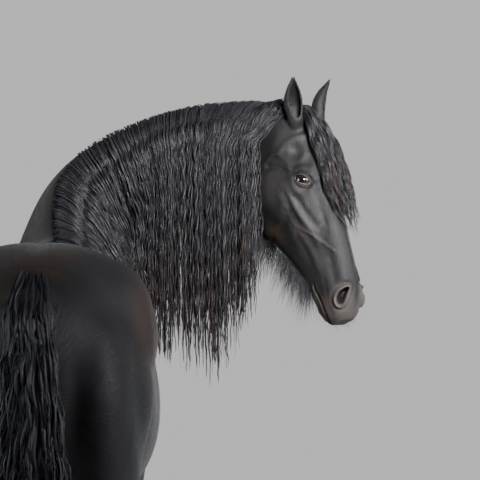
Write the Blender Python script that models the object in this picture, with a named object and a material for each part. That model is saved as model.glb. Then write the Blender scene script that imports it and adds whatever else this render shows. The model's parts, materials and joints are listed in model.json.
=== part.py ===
"""A standing Friesian stallion at life size, its head turned back over its right side.

Metres, +Z up. The trunk points along +Y and the horse's right side is +X. The shapes are laid out on the
floor under the middle of the trunk, and everything is moved at the end so that the origin is at the centre
of the footprint.
"""

import math

import bmesh
import bpy
import numpy as np
from mathutils import Matrix, Vector

GAP = 0.0004  # clearance between solids that meet
WITHERS_HEIGHT = 1.62
FLESH_VOXEL = 0.009

# Head: carried on the neck with the poll as its own origin, x to its right, y to the muzzle, z out of
# the brow.
POLL = Vector((0.710, 0.70, 1.985))
HEAD_YAW = math.radians(128)  # clockwise from the trunk's heading
HEAD_PITCH = math.radians(67)  # nose below the horizontal

EYE_PLACE = Vector((0.0768, 0.212, -0.0489))  # right eye, in the head's own axes
EYE_RADIUS = 0.0240

# Right ear, in the head's axes, and its sections: share of the length, radius, lean towards the opening.
EAR_LENGTH = 0.133
EAR_BASE = Vector((0.054, 0.036, -0.022))
EAR_AXIS = Vector((0.22, -0.86, 0.40))
EAR_FRONT = Vector((0.45, 0.42, 0.80))
EAR_WALL = 0.007
EAR_OPENING = math.radians(128)
EAR = [
    (0.00, 0.0235, 0.001),
    (0.17, 0.0270, -0.002),
    (0.33, 0.0300, -0.004),
    (0.52, 0.0285, -0.002),
    (0.72, 0.0210, 0.003),
    (0.88, 0.0125, 0.010),
    (1.00, 0.0045, 0.015),
]

# Trunk sections: along, half width, height of the widest point, top, bottom, fullness above, fullness below.
TRUNK = [
    (-0.815, 0.045, 1.270, 1.330, 1.210, 2.0, 2.0),
    (-0.785, 0.110, 1.265, 1.410, 1.110, 2.0, 2.0),
    (-0.720, 0.180, 1.265, 1.482, 1.015, 2.1, 2.0),
    (-0.600, 0.238, 1.270, 1.550, 0.975, 2.2, 2.0),
    (-0.450, 0.262, 1.300, 1.587, 0.945, 2.3, 2.0),
    (-0.300, 0.263, 1.310, 1.597, 0.925, 2.3, 2.0),
    (-0.150, 0.260, 1.240, 1.570, 0.892, 2.2, 2.1),
    (0.000, 0.283, 1.180, 1.542, 0.862, 2.1, 2.2),
    (0.150, 0.296, 1.150, 1.532, 0.842, 2.0, 2.2),
    (0.300, 0.292, 1.140, 1.565, 0.836, 1.85, 2.2),
    (0.420, 0.276, 1.140, 1.605, 0.846, 1.7, 2.1),
    (0.520, 0.258, 1.150, WITHERS_HEIGHT, 0.870, 1.6, 2.1),
    (0.620, 0.240, 1.160, 1.570, 0.900, 1.7, 2.1),
    (0.710, 0.214, 1.165, 1.440, 0.940, 1.9, 2.1),
    (0.785, 0.165, 1.150, 1.300, 1.000, 2.0, 2.0),
    (0.835, 0.085, 1.140, 1.210, 1.065, 2.0, 2.0),
]

# Neck sections: point on the crest, point on the throat line, half width, widest point's share of the height.
NECK = [
    ((0.000, 0.320, 1.540), (0.000, 0.660, 0.980), 0.190, 0.42),
    ((-0.008, 0.480, 1.622), (0.000, 0.835, 1.105), 0.190, 0.41),
    ((-0.015, 0.600, 1.700), (0.025, 0.920, 1.260), 0.166, 0.42),
    ((0.000, 0.710, 1.790), (0.080, 0.975, 1.405), 0.142, 0.44),
    ((0.070, 0.800, 1.870), (0.165, 0.990, 1.525), 0.122, 0.45),
    ((0.200, 0.870, 1.940), (0.273, 0.970, 1.612), 0.109, 0.46),
    ((0.360, 0.890, 1.985), (0.392, 0.910, 1.680), 0.100, 0.47),
    ((0.506, 0.850, 1.998), (0.490, 0.850, 1.712), 0.094, 0.48),
    ((0.615, 0.775, 1.990), (0.570, 0.795, 1.735), 0.086, 0.50),
    ((0.680, 0.715, 1.965), (0.635, 0.745, 1.770), 0.066, 0.50),
]

# Head sections, in the head's axes: along, top, bottom, then half widths a tenth, three, five, seven and nine
# tenths of the way down.
HEAD = [
    (-0.035, -0.030, -0.190, 0.040, 0.060, 0.066, 0.060, 0.038),
    (0.020, -0.004, -0.235, 0.050, 0.074, 0.080, 0.076, 0.052),
    (0.090, 0.010, -0.298, 0.056, 0.083, 0.086, 0.086, 0.066),
    (0.150, 0.016, -0.326, 0.064, 0.094, 0.090, 0.088, 0.066),
    (0.212, 0.012, -0.322, 0.074, 0.100, 0.091, 0.083, 0.058),
    (0.270, 0.003, -0.296, 0.061, 0.086, 0.087, 0.073, 0.047),
    (0.328, -0.007, -0.262, 0.047, 0.067, 0.073, 0.060, 0.039),
    (0.396, -0.017, -0.228, 0.039, 0.053, 0.057, 0.047, 0.033),
    (0.464, -0.026, -0.202, 0.035, 0.046, 0.048, 0.040, 0.030),
    (0.522, -0.036, -0.192, 0.035, 0.050, 0.050, 0.041, 0.031),
    (0.570, -0.052, -0.190, 0.036, 0.053, 0.053, 0.043, 0.030),
    (0.604, -0.074, -0.180, 0.031, 0.047, 0.048, 0.037, 0.023),
    (0.622, -0.098, -0.162, 0.020, 0.032, 0.033, 0.026, 0.014),
]
HEAD_HEIGHTS = (0.1, 0.3, 0.5, 0.7, 0.9)

# Legs, upper end first: height, distance from the middle plane, along, half width, half depth.
FORELEG = [
    (1.400, 0.120, 0.520, 0.050, 0.100),
    (1.250, 0.158, 0.575, 0.084, 0.150),
    (1.120, 0.172, 0.605, 0.088, 0.160),
    (1.000, 0.170, 0.575, 0.082, 0.145),
    (0.910, 0.165, 0.548, 0.074, 0.118),
    (0.820, 0.160, 0.540, 0.064, 0.092),
    (0.720, 0.156, 0.540, 0.054, 0.072),
    (0.610, 0.152, 0.542, 0.045, 0.056),
    (0.535, 0.150, 0.545, 0.047, 0.053),
    (0.480, 0.150, 0.547, 0.050, 0.054),
    (0.430, 0.150, 0.543, 0.044, 0.049),
    (0.370, 0.150, 0.536, 0.036, 0.045),
    (0.290, 0.150, 0.534, 0.033, 0.043),
    (0.230, 0.150, 0.532, 0.036, 0.045),
    (0.185, 0.150, 0.534, 0.038, 0.047),
    (0.140, 0.150, 0.552, 0.034, 0.041),
    (0.095, 0.150, 0.578, 0.042, 0.050),
    (0.050, 0.150, 0.596, 0.048, 0.056),
]
HINDLEG = [
    (1.480, 0.110, -0.470, 0.060, 0.150),
    (1.380, 0.145, -0.495, 0.100, 0.230),
    (1.240, 0.158, -0.510, 0.110, 0.268),
    (1.100, 0.160, -0.490, 0.110, 0.262),
    (1.000, 0.160, -0.465, 0.103, 0.232),
    (0.910, 0.157, -0.475, 0.089, 0.178),
    (0.820, 0.153, -0.520, 0.072, 0.130),
    (0.730, 0.150, -0.575, 0.057, 0.096),
    (0.655, 0.148, -0.628, 0.047, 0.078),
    (0.595, 0.148, -0.655, 0.049, 0.071),
    (0.530, 0.148, -0.663, 0.047, 0.060),
    (0.470, 0.148, -0.672, 0.038, 0.049),
    (0.390, 0.148, -0.678, 0.035, 0.047),
    (0.300, 0.148, -0.680, 0.034, 0.045),
    (0.240, 0.148, -0.682, 0.037, 0.046),
    (0.190, 0.148, -0.680, 0.039, 0.048),
    (0.145, 0.148, -0.660, 0.035, 0.042),
    (0.095, 0.148, -0.632, 0.042, 0.050),
    (0.050, 0.148, -0.614, 0.048, 0.056),
]
# How far each hoof stands ahead of its square place: a quiet, slightly open stance.
STEP = {"front_left": -0.045, "front_right": 0.035, "hind_left": 0.110, "hind_right": -0.040}
STEP_STARTS = 1.05  # the height above which a step moves nothing

FORELEG_TOP = 0.83
HINDLEG_TOP = 0.885
ROUGH = 0.03  # how far each piece runs past its cut while its triangles are thinned
CLEAR = 0.0016  # how far hair stands off the flesh under it
TRIANGLES = {"head": 1080, "neck": 480, "trunk": 1160, "leg": 320}

# Colour and roughness of each kind of piece.
LOOKS = {
    "head": ((0.016, 0.014, 0.013), 0.42),
    "neck": ((0.016, 0.014, 0.013), 0.42),
    "trunk": ((0.014, 0.013, 0.013), 0.38),
    "foreleg": ((0.014, 0.013, 0.013), 0.42),
    "hindleg": ((0.014, 0.013, 0.013), 0.42),
    "ear": ((0.018, 0.016, 0.015), 0.50),
    "eye": ((0.020, 0.010, 0.006), 0.08),
    "hoof": ((0.060, 0.052, 0.046), 0.45),
    "feather": ((0.016, 0.014, 0.013), 0.55),
    "mane": ((0.016, 0.014, 0.013), 0.50),
    "forelock": ((0.016, 0.014, 0.013), 0.50),
    "tail": ((0.016, 0.014, 0.013), 0.50),
}

# Where the lofts are blended into each other: centre and radii, given for the right side.
SOFT = [
    ((0.15, -0.45, 1.42), (0.20, 0.42, 0.22)),
    ((0.12, -0.72, 1.20), (0.16, 0.16, 0.30)),
    ((0.22, -0.26, 1.08), (0.12, 0.16, 0.22)),
    ((0.15, 0.62, 1.36), (0.20, 0.22, 0.24)),
    ((0.10, 0.80, 1.15), (0.16, 0.14, 0.24)),
    ((0.20, 0.42, 1.10), (0.12, 0.14, 0.26)),
    ((0.05, 0.42, 1.60), (0.12, 0.20, 0.12)),
    ((0.12, 0.52, 0.90), (0.10, 0.14, 0.08)),
    ((0.10, -0.40, 0.95), (0.08, 0.20, 0.08)),
]

# Muscles and hollows of the body: centre, radii, height; given for the right side.
BODY_SHAPE = [
    ((0.16, -0.38, 1.50), (0.17, 0.26, 0.17), 0.014),
    ((0.16, -0.72, 1.20), (0.10, 0.15, 0.26), 0.014),
    ((0.25, -0.28, 1.00), (0.09, 0.10, 0.12), 0.014),
    ((0.27, -0.16, 1.24), (0.09, 0.15, 0.20), -0.008),
    ((0.27, -0.36, 1.36), (0.07, 0.07, 0.08), 0.010),
    ((0.21, 0.44, 0.95), (0.07, 0.07, 0.08), 0.016),
    ((0.25, 0.48, 1.12), (0.10, 0.14, 0.18), 0.016),
    ((0.20, 0.62, 1.34), (0.12, 0.09, 0.26), 0.012),
    ((0.25, 0.36, 1.34), (0.10, 0.14, 0.22), -0.009),
    ((0.10, 0.84, 1.13), (0.09, 0.10, 0.13), 0.018),
    ((0.00, 0.86, 1.10), (0.03, 0.10, 0.16), -0.004),
    ((0.20, -0.54, 0.84), (0.08, 0.10, 0.14), 0.012),
    ((0.21, 0.58, 0.80), (0.06, 0.08, 0.12), 0.010),
    ((0.00, -0.40, 1.62), (0.03, 0.32, 0.08), -0.004),
    ((0.19, 0.50, 0.50), (0.03, 0.05, 0.06), 0.004),
    ((0.18, -0.70, 0.60), (0.04, 0.05, 0.08), 0.004),
    ((0.23, -0.38, 1.43), (0.13, 0.26, 0.18), 0.040),
    ((0.27, -0.42, 1.24), (0.11, 0.22, 0.22), 0.035),
    ((0.22, 0.00, 1.42), (0.12, 0.30, 0.15), 0.020),
]

# The head's, in its own axes.
HEAD_SHAPE = [
    ((0.072, 0.124, -0.044), (0.030, 0.034, 0.026), -0.009),
    ((0.070, 0.160, -0.018), (0.024, 0.030, 0.024), -0.004),
    ((0.084, 0.178, -0.044), (0.030, 0.018, 0.030), 0.005),
    ((0.092, 0.214, -0.030), (0.034, 0.040, 0.022), 0.006),
    ((0.094, 0.222, -0.074), (0.034, 0.044, 0.022), 0.005),
    ((0.088, 0.170, -0.180), (0.040, 0.100, 0.090), 0.008),
    ((0.080, 0.306, -0.210), (0.035, 0.050, 0.060), -0.007),
    ((0.080, 0.290, -0.096), (0.030, 0.085, 0.018), 0.006),
    ((0.055, 0.330, -0.060), (0.030, 0.080, 0.030), -0.004),
    ((0.060, 0.400, -0.140), (0.030, 0.080, 0.030), -0.005),
    ((0.048, 0.562, -0.069), (0.030, 0.046, 0.040), 0.008),
    ((0.050, 0.572, -0.074), (0.016, 0.020, 0.022), -0.013),
    ((0.038, 0.516, -0.046), (0.030, 0.050, 0.030), 0.003),
    ((0.046, 0.526, -0.034), (0.022, 0.032, 0.026), 0.005),
    ((0.034, 0.530, -0.176), (0.034, 0.034, 0.014), 0.005),
    ((0.042, 0.550, -0.150), (0.034, 0.060, 0.007), -0.006),
    ((0.000, 0.560, -0.186), (0.030, 0.030, 0.016), 0.003),
    ((0.000, 0.130, 0.014), (0.040, 0.110, 0.020), 0.002),
]

# Root of the tail: along, height, radius.
DOCK = [
    (-0.640, 1.510, 0.030),
    (-0.730, 1.470, 0.048),
    (-0.795, 1.410, 0.042),
    (-0.828, 1.330, 0.034),
    (-0.842, 1.240, 0.026),
    (-0.848, 1.150, 0.014),
]

# Hoof sections from the coronet down: share of the height, half width, half depth, distance back.
HOOF = [
    (1.00, 0.0500, 0.0560, 0.046),
    (0.60, 0.0560, 0.0610, 0.030),
    (0.08, 0.0620, 0.0670, 0.004),
    (0.00, 0.0610, 0.0660, 0.002),
]
HOOF_AHEAD = 0.030
CORONET_HEIGHT = 0.082
CORONET_SLOPE = 0.28

# Feather sections: height, distance back from the sole's middle, half width, reach ahead, reach behind.
FEATHER = [
    (0.330, 0.092, 0.050, 0.060, 0.064),
    (0.260, 0.093, 0.052, 0.060, 0.080),
    (0.200, 0.092, 0.060, 0.066, 0.096),
    (0.140, 0.074, 0.064, 0.066, 0.112),
    (0.085, 0.044, 0.072, 0.066, 0.130),
    (0.040, 0.022, 0.082, 0.048, 0.138),
    (0.014, 0.014, 0.084, 0.036, 0.134),
]

# The mane at each neck section, withers to poll: its length below the crest, and the curtain's thickness.
MANE_LENGTHS = (0.28, 0.44, 0.60, 0.72, 0.79, 0.83, 0.86, 0.86, 0.74, 0.62)
MANE_SLIDES = (0, 0, 0, 0, 0, 0, 0.004, 0.010, 0.022, 0.046)  # how far the hanging part is swept back
MANE_THICKNESS = 0.055

# Forelock, in the head's axes: along, middle, height, half width, half depth.
FORELOCK = [
    (-0.010, 0.000, -0.012, 0.018, 0.010),
    (0.035, 0.004, 0.014, 0.034, 0.016),
    (0.100, 0.004, 0.022, 0.050, 0.020),
    (0.180, -0.004, 0.020, 0.056, 0.020),
    (0.260, -0.010, 0.009, 0.054, 0.019),
    (0.330, -0.024, -0.004, 0.042, 0.016),
    (0.405, -0.040, -0.018, 0.018, 0.009),
]

# Tail: height, across, along, half width, half depth.
TAIL = [
    (1.490, 0.000, -0.765, 0.034, 0.030),
    (1.440, 0.000, -0.792, 0.050, 0.046),
    (1.340, 0.002, -0.828, 0.064, 0.056),
    (1.150, 0.006, -0.856, 0.080, 0.066),
    (0.900, 0.012, -0.870, 0.102, 0.076),
    (0.600, 0.012, -0.874, 0.116, 0.084),
    (0.350, 0.006, -0.868, 0.112, 0.080),
    (0.180, 0.000, -0.862, 0.086, 0.062),
    (0.100, -0.004, -0.860, 0.054, 0.040),
]


def through(rows, between):
    """The rows of numbers joined by a smooth curve, with this many steps from each row to the next."""
    rows = np.array(rows, float)
    led = np.vstack([2 * rows[0] - rows[1], rows, 2 * rows[-1] - rows[-2]])
    t = (np.arange(between) / between)[:, None]
    runs = [
        b + 0.5 * t * (c - a + t * (2 * a - 5 * b + 4 * c - d + t * (3 * (b - c) + d - a)))
        for a, b, c, d in zip(led, led[1:], led[2:], led[3:])
    ]
    return np.vstack([*runs, rows[-1:]])


def oval(sides, width, rise, fall, full_above=2.0, full_below=2.0):
    """Points round a closed section, as (across, up): an egg whose halves may be boxier or more pointed."""
    points = []
    for k in range(sides):
        angle = 2 * math.pi * k / sides
        c, s = math.cos(angle), math.sin(angle)
        power = 2 / (full_above if s > 0 else full_below)
        reach = rise if s > 0 else fall
        points.append((width * math.copysign(abs(c) ** power, c), reach * math.copysign(abs(s) ** power, s)))
    return points


def loft(name, rings):
    """A closed solid through rings of points, its two ends filled."""
    bm = bmesh.new()
    loops = []
    for ring in rings:
        verts = [bm.verts.new(p) for p in ring]
        loops.append([bm.edges.new((v, verts[k - 1])) for k, v in enumerate(verts)])
    for lower, upper in zip(loops, loops[1:]):
        bmesh.ops.bridge_loops(bm, edges=lower + upper)
    for end in (loops[0], loops[-1]):
        bmesh.ops.holes_fill(bm, edges=end)
    bmesh.ops.recalc_face_normals(bm, faces=bm.faces)
    mesh = bpy.data.meshes.new(name)
    bm.to_mesh(mesh)
    bm.free()
    return mesh


def placed(name, mesh):
    obj = bpy.data.objects.new(name, mesh)
    bpy.context.scene.collection.objects.link(obj)
    return obj


def joined(name, meshes):
    """One mesh holding copies of several, which may run through each other."""
    bm = bmesh.new()
    for mesh in meshes:
        bm.from_mesh(mesh)
    whole = bpy.data.meshes.new(name)
    bm.to_mesh(whole)
    bm.free()
    return whole


def evaluated(obj, name):
    """A plain mesh of the object with its modifiers applied; the object itself goes."""
    bpy.context.view_layer.update()
    graph = bpy.context.evaluated_depsgraph_get()
    mesh = bpy.data.meshes.new_from_object(obj.evaluated_get(graph), depsgraph=graph)
    mesh.name = name
    bpy.data.objects.remove(obj)
    return mesh


def fused(name, meshes, voxel):
    """The outer surface of several overlapping solids, as one even mesh."""
    obj = placed(name, joined(name, meshes))
    remesh = obj.modifiers.new("fuse", "REMESH")
    remesh.mode = "VOXEL"
    remesh.voxel_size = voxel
    return evaluated(obj, name)


def points_of(mesh):
    points = np.empty(len(mesh.vertices) * 3)
    mesh.vertices.foreach_get("co", points)
    return points.reshape(-1, 3)


def set_points(mesh, points):
    mesh.vertices.foreach_set("co", points.ravel())
    mesh.update()


def normals_of(mesh):
    normals = np.empty(len(mesh.vertices) * 3)
    mesh.vertex_normals.foreach_get("vector", normals)
    return normals.reshape(-1, 3)


def relax(mesh, rounds, share=None):
    """Evens out the surface: each point moves part of the way to the middle of its neighbours, then back
    out by a little less, so that thin limbs keep their girth."""
    points = points_of(mesh)
    edges = np.empty(len(mesh.edges) * 2, np.int64)
    mesh.edges.foreach_get("vertices", edges)
    a, b = edges[::2], edges[1::2]
    count = np.bincount(edges, minlength=len(points))[:, None]
    share = 1.0 if share is None else share[:, None]
    for _ in range(rounds):
        for pull in (0.5, -0.45):
            total = np.zeros_like(points)
            for axis in range(3):
                total[:, axis] = np.bincount(a, points[b, axis], len(points)) + np.bincount(
                    b, points[a, axis], len(points)
                )
            points += share * pull * (total / count - points)
    set_points(mesh, points)


def swell(mesh, places, turn=None):
    """Raises soft mounds, or sinks hollows where the height is negative. Each place is a centre, three radii
    and a height, in axes that the matrix turn takes to the mesh's own."""
    points = points_of(mesh)
    normals = normals_of(mesh)
    back = np.eye(4) if turn is None else np.array(turn.inverted())
    local = points @ back[:3, :3].T + back[:3, 3]
    for centre, radii, height in places:
        away = (((local - centre) / radii) ** 2).sum(1)
        points += normals * (height * np.clip(1 - away, 0, None) ** 2)[:, None]
    set_points(mesh, points)


def both_sides(places):
    """The same places on the left of the middle plane too."""
    return [*places, *(((-c[0], c[1], c[2]), *rest) for c, *rest in places)]


def head_matrix():
    yaw = Matrix.Rotation(-HEAD_YAW, 4, "Z")
    pitch = Matrix.Rotation(-HEAD_PITCH, 4, "X")
    return Matrix.Translation(POLL) @ yaw @ pitch


def trunk_mesh(between=4, sides=40):
    rings = []
    for along, width, wide_at, top, bottom, above, below in through(TRUNK, between):
        section = oval(sides, width, top - wide_at, wide_at - bottom, above, below)
        rings.append([(x, along, wide_at + z) for x, z in section])
    return loft("trunk", rings)


def neck_frames(between):
    """Each neck section: its widest point's place, the way across, the way up, half width, rise and fall."""
    rows = through([(*crest, *throat, width, share) for crest, throat, width, share in NECK], between)
    crests, throats = rows[:, :3], rows[:, 3:6]
    middles = (crests + throats) / 2
    headings = np.gradient(middles, axis=0)
    frames = []
    for crest, throat, heading, (width, share) in zip(crests, throats, headings, rows[:, 6:]):
        up = Vector(crest - throat)
        across = Vector(heading).cross(up).normalized()
        middle = Vector(throat) + up * share
        frames.append((middle, across, up.normalized(), width, up.length * (1 - share), up.length * share))
    return frames


def neck_mesh(between=4, sides=36):
    rings = []
    for middle, across, up, width, rise, fall in neck_frames(between):
        section = oval(sides, width, rise, fall, 1.75, 2.1)
        rings.append([middle + across * x + up * z for x, z in section])
    return loft("neck", rings)


def head_mesh(between=4, sides=12):
    rings = []
    for along, top, bottom, *widths in through(HEAD, between):
        right = [(w, along, top + (bottom - top) * h) for w, h in zip(widths, HEAD_HEIGHTS)]
        left = [(-x, y, z) for x, y, z in reversed(right)]
        outline = [(0, along, top), *right, (0, along, bottom), *left]
        ring = through([*outline[-2:], *outline, *outline[:3]], 4)[8:-12]
        rings.append(ring[:-1] if np.allclose(ring[0], ring[-1]) else ring)
    return loft("head", rings)


def leg_mesh(sections, side, step, between=4, sides=24):
    rings = []
    for height, out, along, width, depth in through(sections, between):
        ahead = step * max(0.0, 1 - height / STEP_STARTS)
        section = oval(sides, width, depth, depth)
        rings.append([(side * (out + x), along + ahead + y, height) for x, y in section])
    return loft("leg", rings)


def mirrored(mesh):
    """The same piece on the left of the middle plane."""
    other = mesh.copy()
    other.transform(Matrix.Scale(-1, 4, (1, 0, 0)))
    other.flip_normals()
    return other


def ear_mesh(arc=6):
    """The right ear in the head's axes: a tapering cup, open to the front."""
    axis = EAR_AXIS.normalized()
    front = (EAR_FRONT - axis * EAR_FRONT.dot(axis)).normalized()
    across = front.cross(axis)
    turns = np.linspace(-EAR_OPENING, EAR_OPENING, arc)
    rings = []
    for part, radius, lean in through(EAR, 1):
        middle = EAR_BASE + axis * EAR_LENGTH * part + front * lean
        wall = min(EAR_WALL, radius * 0.5)
        sides = [across * math.sin(turn) - front * math.cos(turn) * 0.8 for turn in turns]
        outer = [middle + side * radius for side in sides]
        inner = [middle + side * (radius - wall) for side in reversed(sides)]
        rings.append(outer + inner)
    return loft("ear", rings)


def dock_mesh(sides=16):
    """The fleshy root of the tail."""
    rings = []
    for along, height, radius in through(DOCK, 3):
        rings.append([(radius * x, along + radius * y, height) for x, y in oval(sides, 1, 1, 1)])
    return loft("dock", rings)


def leg_sections(name):
    return FORELEG if name.startswith("front") else HINDLEG


def leg_side(name):
    return 1 if name.endswith("right") else -1


def foot_place(name):
    """Middle of the hoof's sole."""
    height, out, along, *_ = leg_sections(name)[-1]
    return Vector((leg_side(name) * out, along + STEP[name] * (1 - height / STEP_STARTS) + HOOF_AHEAD, 0))


def hoof_mesh(foot, grow=0.0, sides=16):
    """A hoof with a flat sole, a sloping toe and a coronet higher in front, or one a little larger."""
    rings = []
    for share, width, depth, back in HOOF:
        ring = []
        for x, y in oval(sides, width + grow, depth + grow, depth * 0.9 + grow, 2.0, 2.5):
            edge = CORONET_HEIGHT + CORONET_SLOPE * (y - back + HOOF[0][3])
            lift = grow if share == 1 else 0
            ring.append((foot.x + x, foot.y + y - back, share * edge + lift))
        rings.append(ring)
    if grow:
        rings.append([(x, y, z - grow) for x, y, z in rings[-1]])
    return loft("hoof", rings)


def feather_mesh(foot, lean, sides=12):
    """The skirt of long hair round the fetlock and over the heels."""
    rings = []
    for height, back, width, ahead, behind in through(FEATHER, 1):
        shift = back + lean * height / STEP_STARTS
        ring = [(foot.x + x, foot.y - shift + y, height) for x, y in oval(sides, width, ahead, behind)]
        rings.append(ring)
    return loft("feather", rings)


def mane_mesh(between=2):
    """A curtain of hair from the crest, over the right side of the neck, then straight down."""
    frames = neck_frames(between)
    falls = through(list(zip(MANE_LENGTHS, MANE_SLIDES)), between)
    rings = []
    for (middle, across, up, width, rise, _), (length, slide) in zip(frames, falls):
        out = Vector((across.x, across.y, 0)).normalized()
        crest = middle + up * rise
        side = middle + across * width
        over = [crest + up * 0.006 - across * 0.026, crest + up * 0.018 + across * 0.004]
        for share in (0.35, 0.75):
            angle = share * math.pi / 2
            point = middle + up * rise * math.cos(angle) ** 1.15 + across * (width * math.sin(angle) + 0.032)
            over.append(point - Vector((slide * share, 0, 0)))
        hang = side + out * (MANE_THICKNESS * 0.55) - Vector((slide, 0, 0))
        bottom = crest.z - length
        outer = [Vector((hang.x, hang.y, hang.z + (bottom - hang.z) * share)) for share in (0.25, 0.65, 1)]
        under = [point - out * MANE_THICKNESS * thick for point, thick in zip(reversed(outer), (0.6, 1, 1.2))]
        inner = [middle + up * rise * 0.3 + across * width * 0.6, crest - up * 0.045]
        rings.append([*over, *outer, *under, *inner, crest - up * 0.030 - across * 0.014])
    return loft("mane", rings)


def forelock_mesh(sides=8):
    """Hair from between the ears, over the brow to the far side of the face, in the head's axes."""
    rings = []
    for along, middle, height, width, depth in through(FORELOCK, 1):
        rings.append([(middle + x, along, height + y) for x, y in oval(sides, width, depth, depth)])
    return loft("forelock", rings)


def tail_mesh(sides=14):
    rings = []
    for height, across, along, width, depth in through(TAIL, 1):
        rings.append([(across + x, along + y, height) for x, y in oval(sides, width, depth, depth)])
    return loft("tail", rings)


def box_mesh(low, high, turn=None):
    """A block between two corners, turned into place by a matrix."""
    bm = bmesh.new()
    bmesh.ops.create_cube(bm, size=1.0)
    for vert in bm.verts:
        vert.co = [a + (b - a) * (c + 0.5) for a, b, c in zip(low, high, vert.co)]
    mesh = bpy.data.meshes.new("block")
    bm.to_mesh(mesh)
    bm.free()
    if turn is not None:
        mesh.transform(turn)
    return mesh


def cut(name, mesh, cutter, operation):
    """The mesh with another solid taken away from it, or only what the two share."""
    obj = placed(name, mesh)
    tool = placed(name + "_cutter", cutter)
    tool.hide_render = True
    tool.display_type = "WIRE"
    boolean = obj.modifiers.new("cut", "BOOLEAN")
    boolean.operation = operation
    boolean.solver = "EXACT"
    boolean.object = tool
    result = evaluated(obj, name)
    bpy.data.objects.remove(tool)
    return result


def thinned(name, mesh, triangles):
    """About this many triangles, spent where the surface turns most."""
    obj = placed(name, mesh)
    mesh.calc_loop_triangles()
    decimate = obj.modifiers.new("thin", "DECIMATE")
    decimate.ratio = min(1.0, triangles / len(mesh.loop_triangles))
    decimate.use_collapse_triangulate = True
    return evaluated(obj, name)


def grown(mesh, by):
    """A copy pushed outwards along its normals."""
    copy = mesh.copy()
    set_points(copy, points_of(copy) + normals_of(copy) * by)
    return copy


def fitted(name, mesh, others):
    """The mesh cut back so that it stands clear of other solids."""
    for other in others:
        mesh = cut(name, mesh, grown(other, CLEAR), "DIFFERENCE")
        mesh = cut(name, mesh, grown(other, 0.0), "DIFFERENCE")
    return largest(mesh)


def largest(mesh):
    """Only the biggest connected piece of the mesh."""
    bm = bmesh.new()
    bm.from_mesh(mesh)
    left = set(bm.verts)
    pieces = []
    while left:
        seed = left.pop()
        piece = {seed}
        edge = [seed]
        while edge:
            for link in edge.pop().link_edges:
                for vert in link.verts:
                    if vert not in piece:
                        piece.add(vert)
                        edge.append(vert)
        left -= piece
        pieces.append(piece)
    pieces.sort(key=len)
    scraps = [vert for piece in pieces[:-1] for vert in piece]
    bmesh.ops.delete(bm, geom=scraps, context="VERTS")
    bmesh.ops.remove_doubles(bm, verts=bm.verts, dist=1e-5)
    bmesh.ops.dissolve_degenerate(bm, edges=bm.edges, dist=1e-5)
    bmesh.ops.triangulate(bm, faces=bm.faces)
    bmesh.ops.recalc_face_normals(bm, faces=bm.faces)
    bm.to_mesh(mesh)
    bm.free()
    return mesh


def flesh_mesh():
    """The whole body and head under the coat, as one smooth solid."""
    head = head_mesh()
    head.transform(head_matrix())
    meshes = [trunk_mesh(), neck_mesh(), head, dock_mesh()]
    for name, step in STEP.items():
        meshes.append(leg_mesh(leg_sections(name), leg_side(name), step))
    flesh = fused("flesh", meshes, FLESH_VOXEL)
    relax(flesh, 6)
    points = points_of(flesh)
    share = np.zeros(len(points))
    for centre, radii in both_sides(SOFT):
        away = (((points - centre) / radii) ** 2).sum(1)
        share = np.maximum(share, np.clip(1.6 * (1 - away), 0, 1))
    relax(flesh, 60, share)
    swell(flesh, both_sides(BODY_SHAPE))
    swell(flesh, both_sides(HEAD_SHAPE), head_matrix())
    relax(flesh, 2)
    return flesh


def neck_cut():
    """Axes of the cut between head and neck: y points down the face, out of the cut."""
    return head_matrix() @ Matrix.Translation((0, -0.030, 0.030)) @ Matrix.Rotation(math.radians(14), 4, "X")


def shoulder_cut():
    """Axes of the cut between neck and trunk: y points up the neck."""
    return Matrix.Translation((0, 0.50, 1.64)) @ Matrix.Rotation(math.radians(41), 4, "X")


def head_block(grow=0.0):
    low = (-0.17 - grow, -grow, -0.50 - grow)
    return box_mesh(low, (0.17 + grow, 0.80, 0.15), neck_cut())


def trunk_block(grow=0.0):
    return box_mesh((-0.5, -3, -3), (0.42 + grow, grow, 3), shoulder_cut())


def leg_block(name, grow=0.0):
    """Everything of one leg that stands clear of the trunk."""
    front = name.startswith("front")
    top = (FORELEG_TOP if front else HINDLEG_TOP) + grow
    along = (0.30, 0.90) if front else (-0.95, -0.20)
    across = (0.0, 0.40) if leg_side(name) > 0 else (-0.40, 0.0)
    return box_mesh((across[0], along[0], -0.1), (across[1], along[1], top))


def ground_block(foot):
    """Everything below the coronet of one hoof."""
    place = Vector((foot.x, foot.y - HOOF[0][3], CORONET_HEIGHT + GAP))
    turn = Matrix.Translation(place) @ Matrix.Rotation(math.atan(CORONET_SLOPE), 4, "X")
    return box_mesh((-0.2, -0.25, -0.3), (0.2, 0.25, 0), turn)


def eye_mesh(radius, side):
    bm = bmesh.new()
    bmesh.ops.create_uvsphere(bm, u_segments=12, v_segments=8, radius=radius)
    mesh = bpy.data.meshes.new("eye")
    bm.to_mesh(mesh)
    bm.free()
    place = Vector((side * EYE_PLACE.x, EYE_PLACE.y, EYE_PLACE.z))
    mesh.transform(head_matrix() @ Matrix.Translation(place) @ Matrix.Rotation(math.radians(90), 4, "Y"))
    return mesh


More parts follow.
